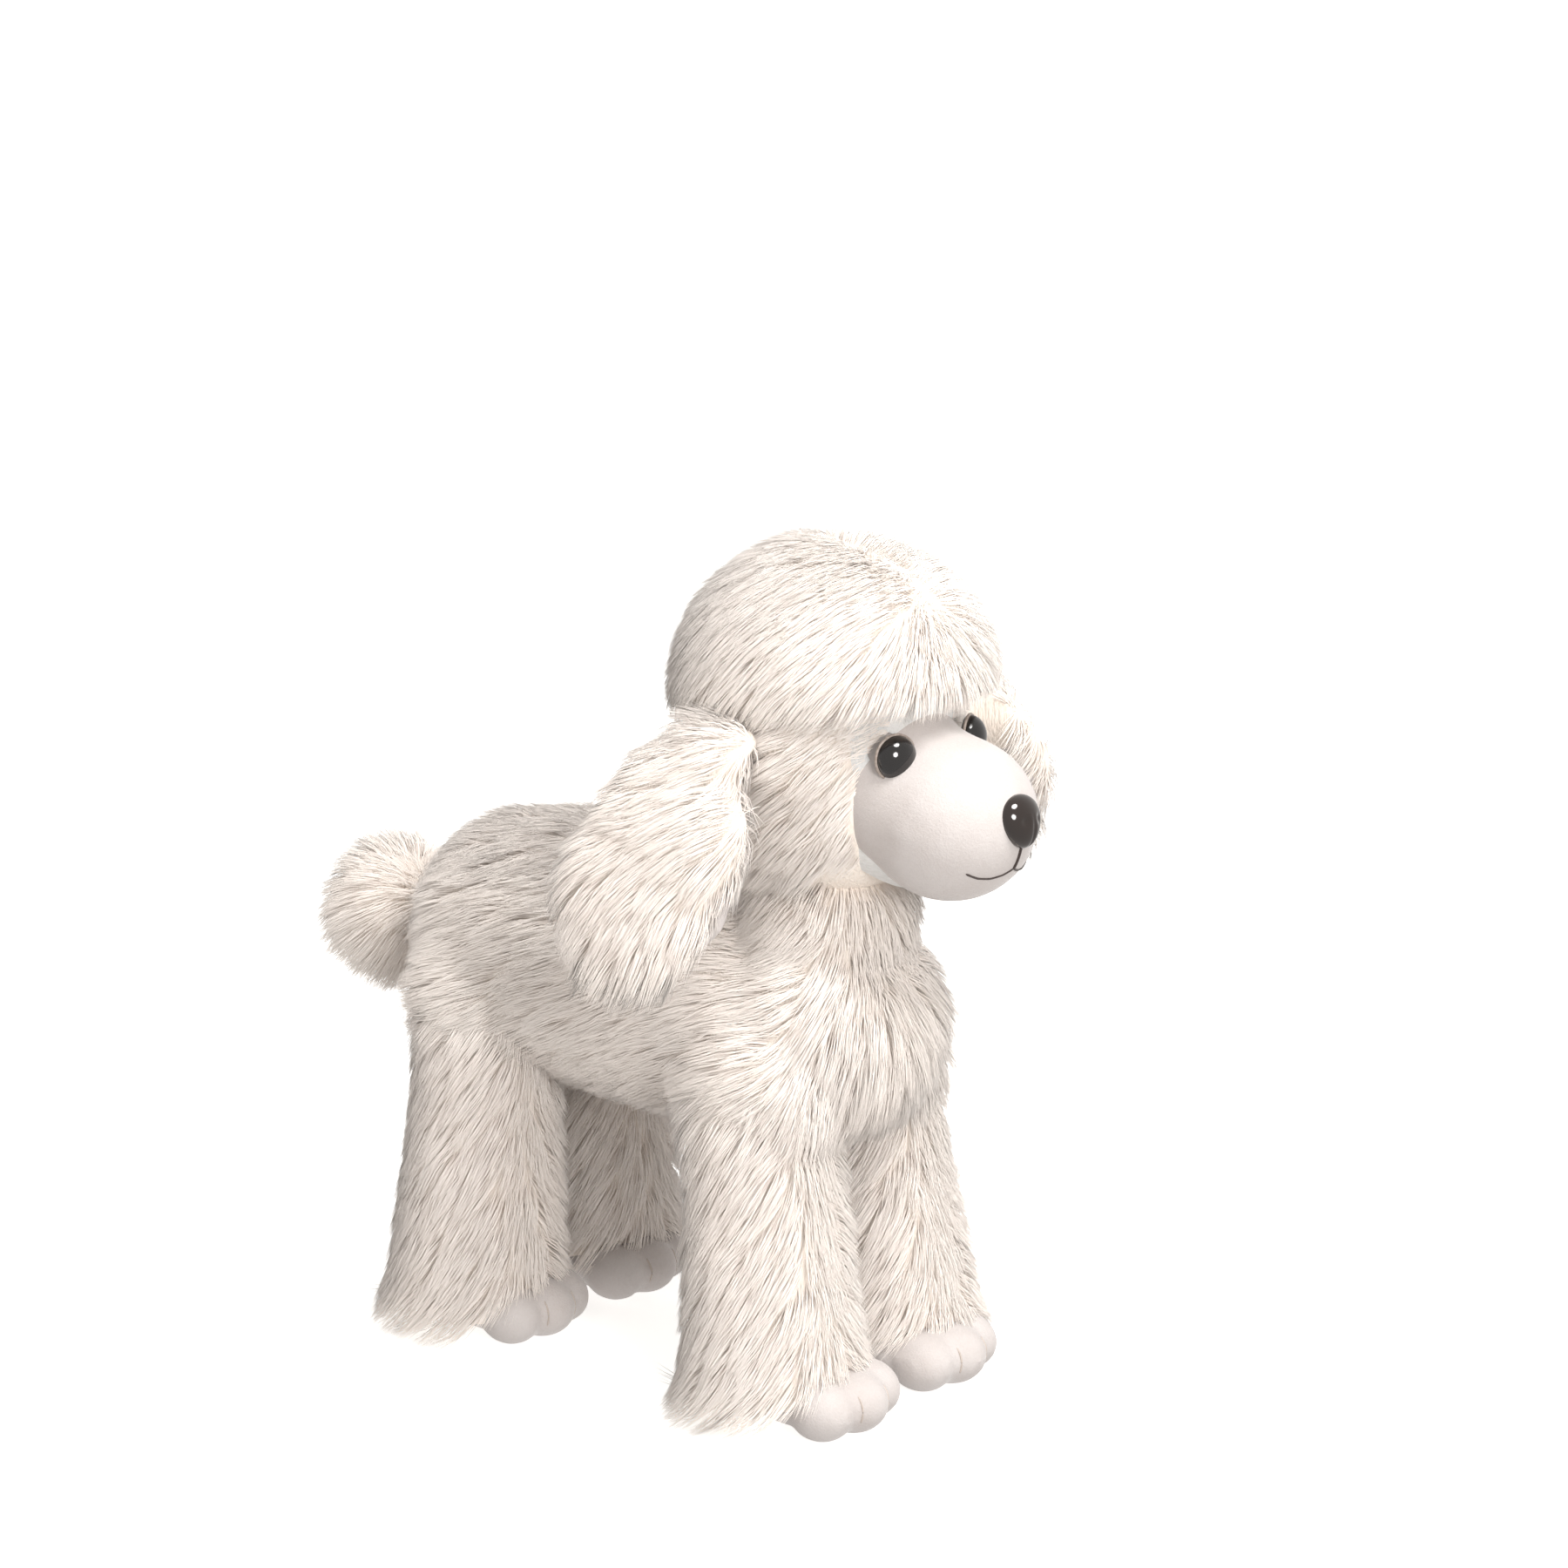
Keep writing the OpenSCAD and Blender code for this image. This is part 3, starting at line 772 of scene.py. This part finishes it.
def build_trunk(bm):
    for (y0, r0), (y1, r1) in zip(TRUNK, TRUNK[1:]):
        tube_form(bm, (0, y0, axis_z(y0)), (0, y1, axis_z(y1)), r0, r1)
    for y, r in (TRUNK[0], TRUNK[-1]):
        round_form(bm, (0, y, axis_z(y)), (r, r, r))
    round_form(bm, CHEST_AT, (37, 28, 33))
    round_form(bm, NECK_AT, (30, 28, 34))
    for end, spread in (("front", 0.86), ("rear", 0.92)):
        for side in (RIGHT, LEFT):
            x, y, z = hip(end, side)
            round_form(bm, (x * spread, y, z + 12), (26, 33, 30))


trunk_skin = weld("trunk_skin", build_trunk, 5.0, 8)
puff(trunk_skin, cap=2.5)


# %% [markdown]
# ## The head
# The cheeks, the temples and the skull are one skin. The topknot is a round cap that sits over
# them and overhangs the face, with its own seam, so it is made by itself. It is a dome with a
# second one pushed forward, and a brow. The seam under it rises a little towards the front.

# %% Head skins
def build_head(bm):
    round_form(bm, cheek_at + (0, 7, 1), (cheek_r - PILE, cheek_r - PILE - 1, cheek_r - PILE - 1))
    round_form(bm, skull_at + (0, 3, 0), (skull_r + 1.5,) * 3)
    for side in (RIGHT, LEFT):
        round_form(bm, skull_at + (side * 27, -9, 2), (23, 22, 25))


head_skin = weld("head_skin", build_head, 4.5, 6)
puff(head_skin, cap=1.5)


SEAM_TILT = 5


def build_topknot(bm):
    r = topknot_r - PILE
    round_form(bm, topknot_at + (0, 1, -1.5), (r, r - 1, r))
    round_form(bm, topknot_at + (0, -9, 4), (r - 2, r - 6, r - 7))
    round_form(bm, topknot_at + (0, -21, 7), (47, 36, 39), (-8, 0, 0))
    tilt = math.radians(SEAM_TILT)
    normal = Vector((0, math.sin(tilt), math.cos(tilt)))
    cut = bmesh.ops.bisect_plane(bm, geom=bm.verts[:] + bm.edges[:] + bm.faces[:], clear_inner=True,
                                 plane_co=Vector((0, topknot_at[1], seam_z + 4)) * MM, plane_no=normal)
    bmesh.ops.holes_fill(bm, edges=[e for e in cut["geom_cut"] if isinstance(e, bmesh.types.BMEdge)])


topknot_skin = weld("topknot_skin", build_topknot, 4.5, 6)
puff(topknot_skin, cap=2.0)


# %% [markdown]
# The face is a separate egg of short plush: a round muzzle that runs up between the eyes.

# %% Face
FACE_AT = np.array([0, -108, skull_at[2] - 10.5])


def build_face(bm):
    round_form(bm, FACE_AT, (32, 34.5, 31))
    round_form(bm, muzzle_at + (0, 0, 1), (MUZZLE_R, MUZZLE_R, MUZZLE_R - 1.5))
    round_form(bm, muzzle_at + (0, 12, 5), (31, 34, 28.5))
    round_form(bm, muzzle_at + (0, 12, 14), (18, 30, 19))


face = weld("face_plush", build_face, 2.6, 12)
puff(face, cap=1.0)


# %% [markdown]
# ## Ears, tail, legs and paws
# An ear is a flat leaf of fur with a plush lining. It hangs from a rolled root and stands out
# from the head by its tilt. The near ear lies with its rear edge out. The far one is swept
# forward with its front edge out, so that it shows beside the face.

# %% Ear skins
EAR_TILT = 20
EAR_TURN = {RIGHT: 16, LEFT: -16}
EAR_SWEEP = {RIGHT: (0, 0, 0), LEFT: (6, -13, 3)}
EAR_FROM_PIVOT = (26.6, 6, -48.0)


def ear_pivot(side):
    return pivot(SIDE_NAMES[side] + "_ear_flap")


def ear_spot(side, x, y, z):
    """A point given in the ear's own tilted frame, x outwards."""
    turn = Euler((0, math.radians(-side * EAR_TILT), math.radians(-side * EAR_TURN[side]))).to_matrix()
    out, back, up = EAR_FROM_PIVOT
    centre = ear_pivot(side) + (side * out, back, up) + EAR_SWEEP[side]
    return centre + np.array(turn @ Vector((side * x, y, z)))


def ear_round(bm, side, where, semi):
    round_form(bm, ear_spot(side, *where), semi, (0, -side * EAR_TILT, -side * EAR_TURN[side]))


def build_ear(side):
    def build(bm):
        ear_round(bm, side, (0, 7, -5), (6.5, 31, 32))
        ear_round(bm, side, (0, -3, 14), (7, 29, 30))
        ear_round(bm, side, (-3, -3, 34), (8, 22, 15))
        x, y, z = ear_pivot(side)
        tube_form(bm, (x, y - 9, z - 2), (x, y + 12, z - 2), 6, 6)
        for end in (-9, 12):
            round_form(bm, (x, y + end, z - 2), (6,) * 3)
        round_form(bm, (x + side * 6, y + 3, z - 9), (8, 18, 11), (0, -side * 12, 0))
    return build


def build_lining(side):
    def build(bm):
        ear_round(bm, side, (-4.5, 2, -3), (5.5, 29, 30))
        ear_round(bm, side, (-5.0, -1, 10), (5.5, 25, 26))
    return build


ear_skins, ear_linings = {}, {}
for side, name in SIDE_NAMES.items():
    ear_skins[side] = weld(f"{name}_ear_skin", build_ear(side), 3.2, 5)
    ear_linings[side] = weld(f"{name}_ear_lining_plush", build_lining(side), 2.6, 5)
    puff(ear_skins[side], cap=1.0)
    puff(ear_linings[side], cap=1.0)


# %% Tail skin
def build_tail(bm):
    r = tail_ball_r - PILE
    round_form(bm, tail_ball_at + (0, -10, 2), (r + 1, r + 1, r + 2))
    tube_form(bm, tail_at, tail_ball_at, 8, 8)
    round_form(bm, tail_at, (9.2,) * 3)


tail_skin = weld("tail_skin", build_tail, 3.5, 4)
puff(tail_skin, cap=1.0)


# %% [markdown]
# A leg is a bell: narrow where it leaves the body, wide where its hem drops over the paw. The
# paw is a low cushion with three toes.

# %% Leg and paw skins
def build_leg(end, side):
    def build(bm):
        top, foot = hip(end, side), hem_middle(end, side)
        down = foot - top
        at = lambda share: top + down * share
        round_form(bm, top, (25, 25, 25))
        tube_form(bm, at(0), at(0.25), 25, 25)
        tube_form(bm, at(0.25), at(0.6), 25, 28)
        tube_form(bm, at(0.6), at(0.93), 28, 31.5)
    return build


def build_paw(end, side):
    def build(bm):
        x, y, _ = paw_middle(end, side)
        round_form(bm, (x, y + 6, 12), (25, 24, 12))
        for across, ahead, r in ((-13.5, -8.5, 11.5), (1, -12.5, 12), (14.5, -8, 11)):
            round_form(bm, (x + across, y + ahead, 11), (r, 14, 11.3))
    return build


leg_skins, paws = {}, {}
for end, side in LEGS:
    name = leg_name(end, side)
    leg_skins[end, side] = weld(name + "_skin", build_leg(end, side), 4.5, 4)
    puff(leg_skins[end, side], cap=1.2)
    paws[end, side] = weld(name.replace("_leg", "_paw_plush"), build_paw(end, side), 2.2, 3)
    puff(paws[end, side], cap=1.2)


# %% [markdown]
# After the cloth run every skin gets one subdivision, and what would dip under the floor is
# pressed flat against it, as a sole is.

# %% Finish the skins
def finish_skin(obj, sole=False):
    smooth = obj.modifiers.new("round", "SUBSURF")
    smooth.levels = smooth.render_levels = 1
    settle(obj)
    if sole:
        spots = positions(obj.data)
        spots[:, 2] = np.maximum(spots[:, 2], 0.3 * MM)
        obj.data.vertices.foreach_set("co", spots.ravel())
        obj.data.update()
    obj.data.polygons.foreach_set("use_smooth", [True] * len(obj.data.polygons))


for obj in (trunk_skin, head_skin, topknot_skin, face, tail_skin, *ear_skins.values(), *ear_linings.values()):
    finish_skin(obj)
for obj in (*leg_skins.values(), *paws.values()):
    finish_skin(obj, sole=True)

dress(trunk_skin, "torso", "long_fur", backing_finish, 0.8,
      "body_fur_left", "body_fur_right", "belly_panel", "chest_ruff", "neck_fur")
dress(head_skin, "head", "long_fur", backing_finish, 0.9, "head_fur")
dress(topknot_skin, "head", "long_fur", backing_finish, 0.8, "topknot_fur")
dress(face, "head", "short_plush", plush_finish, 0.9, "muzzle_plush")
dress(tail_skin, "tail", "long_fur", backing_finish, 0.7, "tail_fur", "tail_dock")
for side, name in SIDE_NAMES.items():
    dress(ear_skins[side], f"{name}_ear", "long_fur", backing_finish, 0.3, f"{name}_ear_fur")
    dress(ear_linings[side], f"{name}_ear", "short_plush", plush_finish, 0.3, f"{name}_ear_lining")
for end, side in LEGS:
    name = leg_name(end, side)
    dress(leg_skins[end, side], name, "long_fur", backing_finish, 0.8, name + "_fur")
    dress(paws[end, side], name, "short_plush", plush_finish, 0.8, name.replace("_leg", "_paw"))


# %% [markdown]
# ## Combing
# Each comb below takes points on a skin with their normals, and answers with a direction to lie
# in, a length, a lift off the skin in degrees, and which points keep a hair at all. Hairs are
# left out where another form covers the skin, such as under the topknot or inside a paw.

# %% Combs
def inside(place, centre, semi):
    return np.sum(((place - np.array(centre)) / np.array(semi)) ** 2, axis=1) < 1


def comb_trunk(p, n):
    x, y, z = p.T
    neck = ease(z, 178, 200)
    chest = ease(-y, 92, 118) * (1 - neck)
    rump = ease(y, 78, 102)
    under = ease(-n[:, 2], 0.2, 0.8)
    back = (1 - neck) * (1 - chest) * (1 - rump)
    head = steer(p, (back, (0, 1, -0.32)), (chest * 1.2, (0, 0.1, -1)),
                 (neck, (0, 0.45, -1)), (rump, (0, 0.25, -1)))
    head[:, 0] += 0.35 * np.sign(x) * ease(np.abs(x), 2, 16) * (chest + rump * 0.6 + back * 0.25)
    length = 18 + 4 * chest - 4 * under + 1 * rump
    lift = 23 - 3 * chest
    keep = np.ones(len(p), bool)
    for end, side in LEGS:
        top = hip(end, side)
        keep &= ~inside(p, top + (0, 0, -6), (22, 22, 26))
    keep &= ~inside(p, cheek_at + (0, 7, 1), (42, 42, 42))
    return head, length, lift, keep


def comb_head(p, n):
    x, y, z = p.T
    away = p - np.array([0, muzzle_at[1], muzzle_at[2] + 8])
    away[:, 1] *= 0.5
    away = unit(away) * np.array([0.7, 1, 0.7])
    head = away + np.array([0, 0.45, -0.75])
    low_edge = ease(-z, -208, -192)
    head[:, 2] -= 0.8 * low_edge
    length = 14 + 6 * low_edge + 2 * ease(y, -100, -70)
    front = ease(-y, 104, 122)
    keep = ~inside(p, FACE_AT, (30, 33, 29.5))
    keep &= ~inside(p, muzzle_at + (0, 12, 5), (30, 33, 27))
    keep &= (z > 214) | (y > -104) | (np.abs(x) > 30)
    keep &= z < seam_z + 4 - 0.09 * (y - topknot_at[1])
    return head, length - 2 * front, 24 + 4 * low_edge - 6 * front, keep


PARTING = np.array([[0, -84, 326], [0, -128, 304]])  # the line that the topknot's hair leaves


def comb_topknot(p, n):
    x, y, z = p.T
    line = PARTING[1] - PARTING[0]
    share = np.clip((p - PARTING[0]) @ line / (line @ line), 0, 1)[:, None]
    away = p - (PARTING[0] + share * line)
    head = unit(away) + np.array([0, 0.12, -0.3])
    head[:, 1] += 0.25 * ease(np.abs(x), 8, 30)
    rim = ease(-z, -seam_z - 22, -seam_z - 6)
    brow = rim * ease(-y, 110, 130)
    head[:, 2] -= 0.5 * rim
    keep = n[:, 2] > -0.75
    temple = rim * ease(-y, 88, 104) * ease(np.abs(x), 22, 34)
    crown = np.exp(-np.sum(away ** 2, axis=1) / (2 * 9.0 ** 2))
    return head, 16 - 1 * rim - 6 * brow + 6 * temple, 21 - 2 * rim + 6 * crown - 8 * temple, keep


def comb_ear(side):
    axis_down = unit(ear_spot(side, 0, 0, -1) - ear_spot(side, 0, 0, 0))
    axis_back = unit(ear_spot(side, 0, 1, 0) - ear_spot(side, 0, 0, 0))

    def comb(p, n):
        centre = ear_spot(side, 0, 0, 0)
        down = (p - centre) @ axis_down
        back = (p - centre) @ axis_back
        upper = ease(-down, -18, 22)
        rear = ease(back, -12, 26)
        head = (0.45 + 0.75 * (1 - upper))[:, None] * axis_down
        head = head + (0.3 + upper * 0.6 + rear * 0.25)[:, None] * axis_back
        head -= (ease(-back, 14, 28) * 0.35 * (1 - upper))[:, None] * axis_back
        tips = ease(down, 16, 36)
        out = unit(ear_spot(side, 1, 0, 0) - centre)
        lined = (n @ out < -0.5) & (down < 26) & (back > -20)
        keep = ~lined & ~inside(p, skull_at + (0, 3, 0), (skull_r + 1,) * 3)
        return head, 16 + 4 * tips, 23 + 3 * tips, keep
    return comb


def comb_tail(p, n):
    x, y, z = p.T
    head = np.array([0, 0.85, -0.5]) + 0.35 * unit(p - tail_ball_at) * np.array([1, 0, 1])
    head[:, 2] -= 0.6 * ease(y, 150, 168)
    keep = y > 106
    return head, 17.0 + 0 * x, 36.0 + 0 * x, keep


def comb_leg(end, side):
    top, foot, paw = hip(end, side), hem_middle(end, side), paw_middle(end, side)

    def comb(p, n):
        axis = top + (foot - top) * ((top[2] - p[:, 2]) / top[2])[:, None]
        across = (p[:, 0] - axis[:, 0]) / 25
        front = ease(axis[:, 1] - p[:, 1], -4, 18)
        hem = ease(-p[:, 2], -34, -12)
        ridge = np.sign(across) * ease(np.abs(across), 0.02, 0.4)
        head = np.stack([ridge * (0.25 + 0.55 * front), 0.45 + 0.25 * hem + 0 * across, -1 + 0.35 * hem], 1)
        outer = hem * ease(n[:, 0], 0.1, 0.7)
        length = 18 + 5 * hem + 4 * outer
        keep = ~inside(p, paw + (0, 1, -1), (26, 27, 13.5))
        keep &= (p[:, 2] > 7) & (n[:, 2] > -0.8)
        keep &= ~inside(p, (0, top[1], axis_z(top[1])), (40, 400, 40))
        return head, length, 22 + 14 * hem - 14 * hem * front * (1 - outer) + 12 * outer, keep
    return comb


# %% Lay the coats
def area_of(obj):
    spots, _, corners = skin_arrays(obj)
    a, b, c = (spots[corners[:, i]] for i in range(3))
    return np.linalg.norm(np.cross(b - a, c - a), axis=1).sum() / 2


def coat(name, skin, body, comb, seed, per=0.80, **more):
    """Lay a coat with a number of hairs for each square millimetre of the skin."""
    return lay_coat(name, skin, body, comb, int(area_of(skin) * per), seed, **more)


coats = coat("trunk_coat", trunk_skin, "torso", comb_trunk, 11)
coats += coat("cheek_coat", head_skin, "head", comb_head, 12, per=0.95)
coats += coat("topknot_coat", topknot_skin, "head", comb_topknot, 13, per=0.95, clump=0.2, wild=0.07)
coats += coat("tail_coat", tail_skin, "tail", comb_tail, 14, per=0.9, clump=0.3)
for side, name in SIDE_NAMES.items():
    coats += coat(f"{name}_ear_coat", ear_skins[side], f"{name}_ear", comb_ear(side), 20 + side, per=0.9)
for number, (end, side) in enumerate(LEGS):
    name = leg_name(end, side)
    coats += coat(name + "_coat", leg_skins[end, side], name, comb_leg(end, side), 30 + number)
hairs = sum(len(piece.data.polygons) for piece in coats) // len(LONG_HAIR[1])
print(len(coats), "coat pieces,", hairs, "hairs")


# %% [markdown]
# ## Eyes, nose and mouth
# An eye is a domed button on a stem, turned outwards, with a thin rim where it presses into the
# plush. Its place comes from the washer that locks it from behind.

# %% Eyes
EYE_R, EYE_RISE = 8.0, 6.4
EYE_TURN = math.radians(20)
EYE_FROM_WASHER = 9 - 1.75
EYE_NUDGE = (0, -3.5, -2)  # the skin swells past the plain solid here


def eye_matrix(side):
    out = np.array([side * math.sin(EYE_TURN), -math.cos(EYE_TURN), 0])
    seat = middle(f"{SIDE_NAMES[side]}_eye_washer") + out * EYE_FROM_WASHER + EYE_NUDGE
    turn = Vector(out).to_track_quat("Z", "Y").to_matrix().to_4x4()
    return Matrix.Translation(Vector(seat) * MM) @ turn


def revolve(bm, profile, matrix, steps=48):
    """Turn a row of (radius, height) points, in millimetres, about Z."""
    row = [bm.verts.new((r * MM, 0, h * MM)) for r, h in profile]
    edges = [bm.edges.new(pair) for pair in zip(row, row[1:])]
    bmesh.ops.spin(bm, geom=row + edges, cent=(0, 0, 0), axis=(0, 0, 1), angle=math.tau, steps=steps)
    bmesh.ops.remove_doubles(bm, verts=bm.verts[:], dist=1e-6)
    bmesh.ops.recalc_face_normals(bm, faces=bm.faces[:])
    bmesh.ops.transform(bm, matrix=matrix, verts=bm.verts[:])


def finished(name, bm, finish, body, slot, *nodes):
    """Turn a bmesh into an object with its material, hang it on its body, and hide any plain solids that it
    replaces.
    """
    mesh = bpy.data.meshes.new(name)
    bm.to_mesh(mesh)
    bm.free()
    mesh.polygons.foreach_set("use_smooth", [True] * len(mesh.polygons))
    mesh.materials.append(finish)
    obj = add_object(name, mesh)
    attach(obj, body)
    if nodes:
        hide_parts(*nodes)
    return obj


for side, name in SIDE_NAMES.items():
    place = eye_matrix(side)
    bm = bmesh.new()
    dome = [(EYE_R * math.cos(a), EYE_RISE * math.sin(a)) for a in np.linspace(math.pi / 2, 0, 16)]
    dome[0] = (0, EYE_RISE)
    stem = [(7.6, -1.2), (2.4, -1.6), (2.4, -9.0), (0, -9.0)]
    revolve(bm, dome + stem, place)
    finished(f"{name}_eye_button", bm, eye_finish, "head", "black_plastic", f"{name}_eye")
    bm = bmesh.new()
    ring = [(EYE_R + 0.15 + 0.55 * math.cos(a), 0.1 + 0.55 * math.sin(a)) for a in np.linspace(0, math.tau, 13)]
    revolve(bm, ring, place)
    finished(f"{name}_eye_rim", bm, rim_finish, "head", "black_plastic")
    print(f"{name} eye at", [round(v / MM, 1) for v in place.translation])


# %% [markdown]
# The nose is wide above and narrow below, with two nostril dents and a groove down the middle.

# %% Nose
NOSE = (11.4, 6.4, 9.6)  # half its width, depth and height
bm = bmesh.new()
bmesh.ops.create_icosphere(bm, subdivisions=5, radius=1)
for v in bm.verts:
    x, y, z = v.co
    wide = 0.80 + 0.26 * z
    dent = sum(math.exp(-((x - s * 0.42) ** 2 + (z - 0.02) ** 2) / 0.030) for s in (-1, 1))
    groove = math.exp(-(x / 0.09) ** 2) * max(0.0, 0.35 - z)
    front = max(0.0, -y)
    sink = front * (0.16 * dent + 0.14 * groove)
    v.co = (x * wide * NOSE[0], (y * (1 - 0.12 * x * x)) * NOSE[1] + sink * NOSE[1], z * NOSE[2] - 1.0 * x * x)
muzzle_tip = muzzle_at - (0, MUZZLE_R, 0)
lean = Matrix.Rotation(math.radians(-12), 4, "X")
place = Matrix.Translation(Vector(muzzle_tip + (0, 1.6, 4.2)) * MM) @ lean @ Matrix.Scale(MM, 4)
bmesh.ops.transform(bm, matrix=place, verts=bm.verts[:])
stem = Matrix.Translation(Vector(muzzle_tip + (0, 6, 4.5)) * MM) @ Matrix.Rotation(math.pi / 2, 4, "X")
bmesh.ops.create_cone(bm, cap_ends=True, segments=24, radius1=2.4 * MM, radius2=2.4 * MM, depth=10 * MM,
                      matrix=stem)
finished("nose_button", bm, nose_finish, "head", "black_plastic", "nose")
print("nose is", 2 * NOSE[0], "mm wide at most and", 2 * NOSE[2], "mm high")


# %% [markdown]
# ## Threads
# A thread is a round cord laid on the surface it is sewn through. Its points are dropped onto
# the finished skin, so that it follows every swell of the fabric.

# %% Mouth and toe seams
def drop_on(skin, point, towards, proud):
    """Where a line from point towards a spot meets a skin, raised by proud millimetres."""
    start, aim = Vector(point) * MM, (Vector(towards) - Vector(point)).normalized()
    hit, where, normal, _ = skin.ray_cast(start, aim)
    return (where + normal * proud * MM) if hit else start


def thread_form(bm, path, radius, sides=8):
    """A round cord through a row of points, closed at both ends."""
    rings = []
    for number, spot in enumerate(path):
        ahead = path[min(number + 1, len(path) - 1)] - path[max(number - 1, 0)]
        turn = ahead.to_track_quat("Z", "Y")
        r = radius * MM * (0.55 if number in (0, len(path) - 1) else 1.0)
        rings.append([bm.verts.new(spot + turn @ Vector((r * math.cos(a), r * math.sin(a), 0)))
                      for a in np.linspace(0, math.tau, sides, endpoint=False)])
    for a, b in zip(rings, rings[1:]):
        for k in range(sides):
            bm.faces.new((a[k], a[(k + 1) % sides], b[(k + 1) % sides], b[k]))
    bm.faces.new(rings[0][::-1])
    bm.faces.new(rings[-1])


def curve_on(skin, points, towards, proud, steps=6):
    """Drop a line through a few points onto a skin, in small steps."""
    points = [np.array(point) for point in points]
    line = [a + (b - a) * step / steps for a, b in zip(points, points[1:]) for step in range(steps)]
    return [drop_on(skin, point, towards, proud) for point in (*line, points[-1])]


def around_muzzle(down, aside):
    """A point outside the muzzle: down from its tip and aside, both in degrees."""
    d, a = math.radians(down), math.radians(aside)
    out = np.array([math.sin(a), -math.cos(a) * math.cos(d), -math.cos(a) * math.sin(d)])
    return muzzle_at + out * (MUZZLE_R + 12)


bm = bmesh.new()
heart = tuple(muzzle_at)
stitch = curve_on(face, [around_muzzle(d, 0) for d in (4, 12, 20, 26)], heart, 0.15)
thread_form(bm, stitch, 0.62)
for side in (RIGHT, LEFT):
    lip = [(26, 0), (30, side * 8), (33, side * 18), (34, side * 28), (32, side * 38)]
    thread_form(bm, curve_on(face, [around_muzzle(*spot) for spot in lip], heart, 0.05), 0.42)
finished("mouth_thread", bm, dark_thread_finish, "head", "thread", "mouth_stitches")

# The toe seams lie in the creases between the toe lobes, and their thread carries painted crease shade.
for end, side in LEGS:
    bm = bmesh.new()
    x, y, _ = paw_middle(end, side)
    for across in (-6.6, 8.2):
        seam = [(x + across, y - 46, 5), (x + across, y - 46, 14), (x + across, y - 40, 30)]
        thread_form(bm, curve_on(paws[end, side], seam, (x + across, y - 8, 9), 0.0), 0.35)
    name = f"{end}_{SIDE_NAMES[side]}"
    finished(f"{name}_toe_thread", bm, toe_thread_crease_shade_finish, f"{name}_leg", "thread", f"{name}_toe_stitches")
print("sewn: the mouth and", 2 * len(LEGS), "toe seams")



visual_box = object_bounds()
for label, box in (("cad", cad_box), ("visual", visual_box)):
    print(label, [round((b - a) / MM, 1) for a, b in zip(*box)])
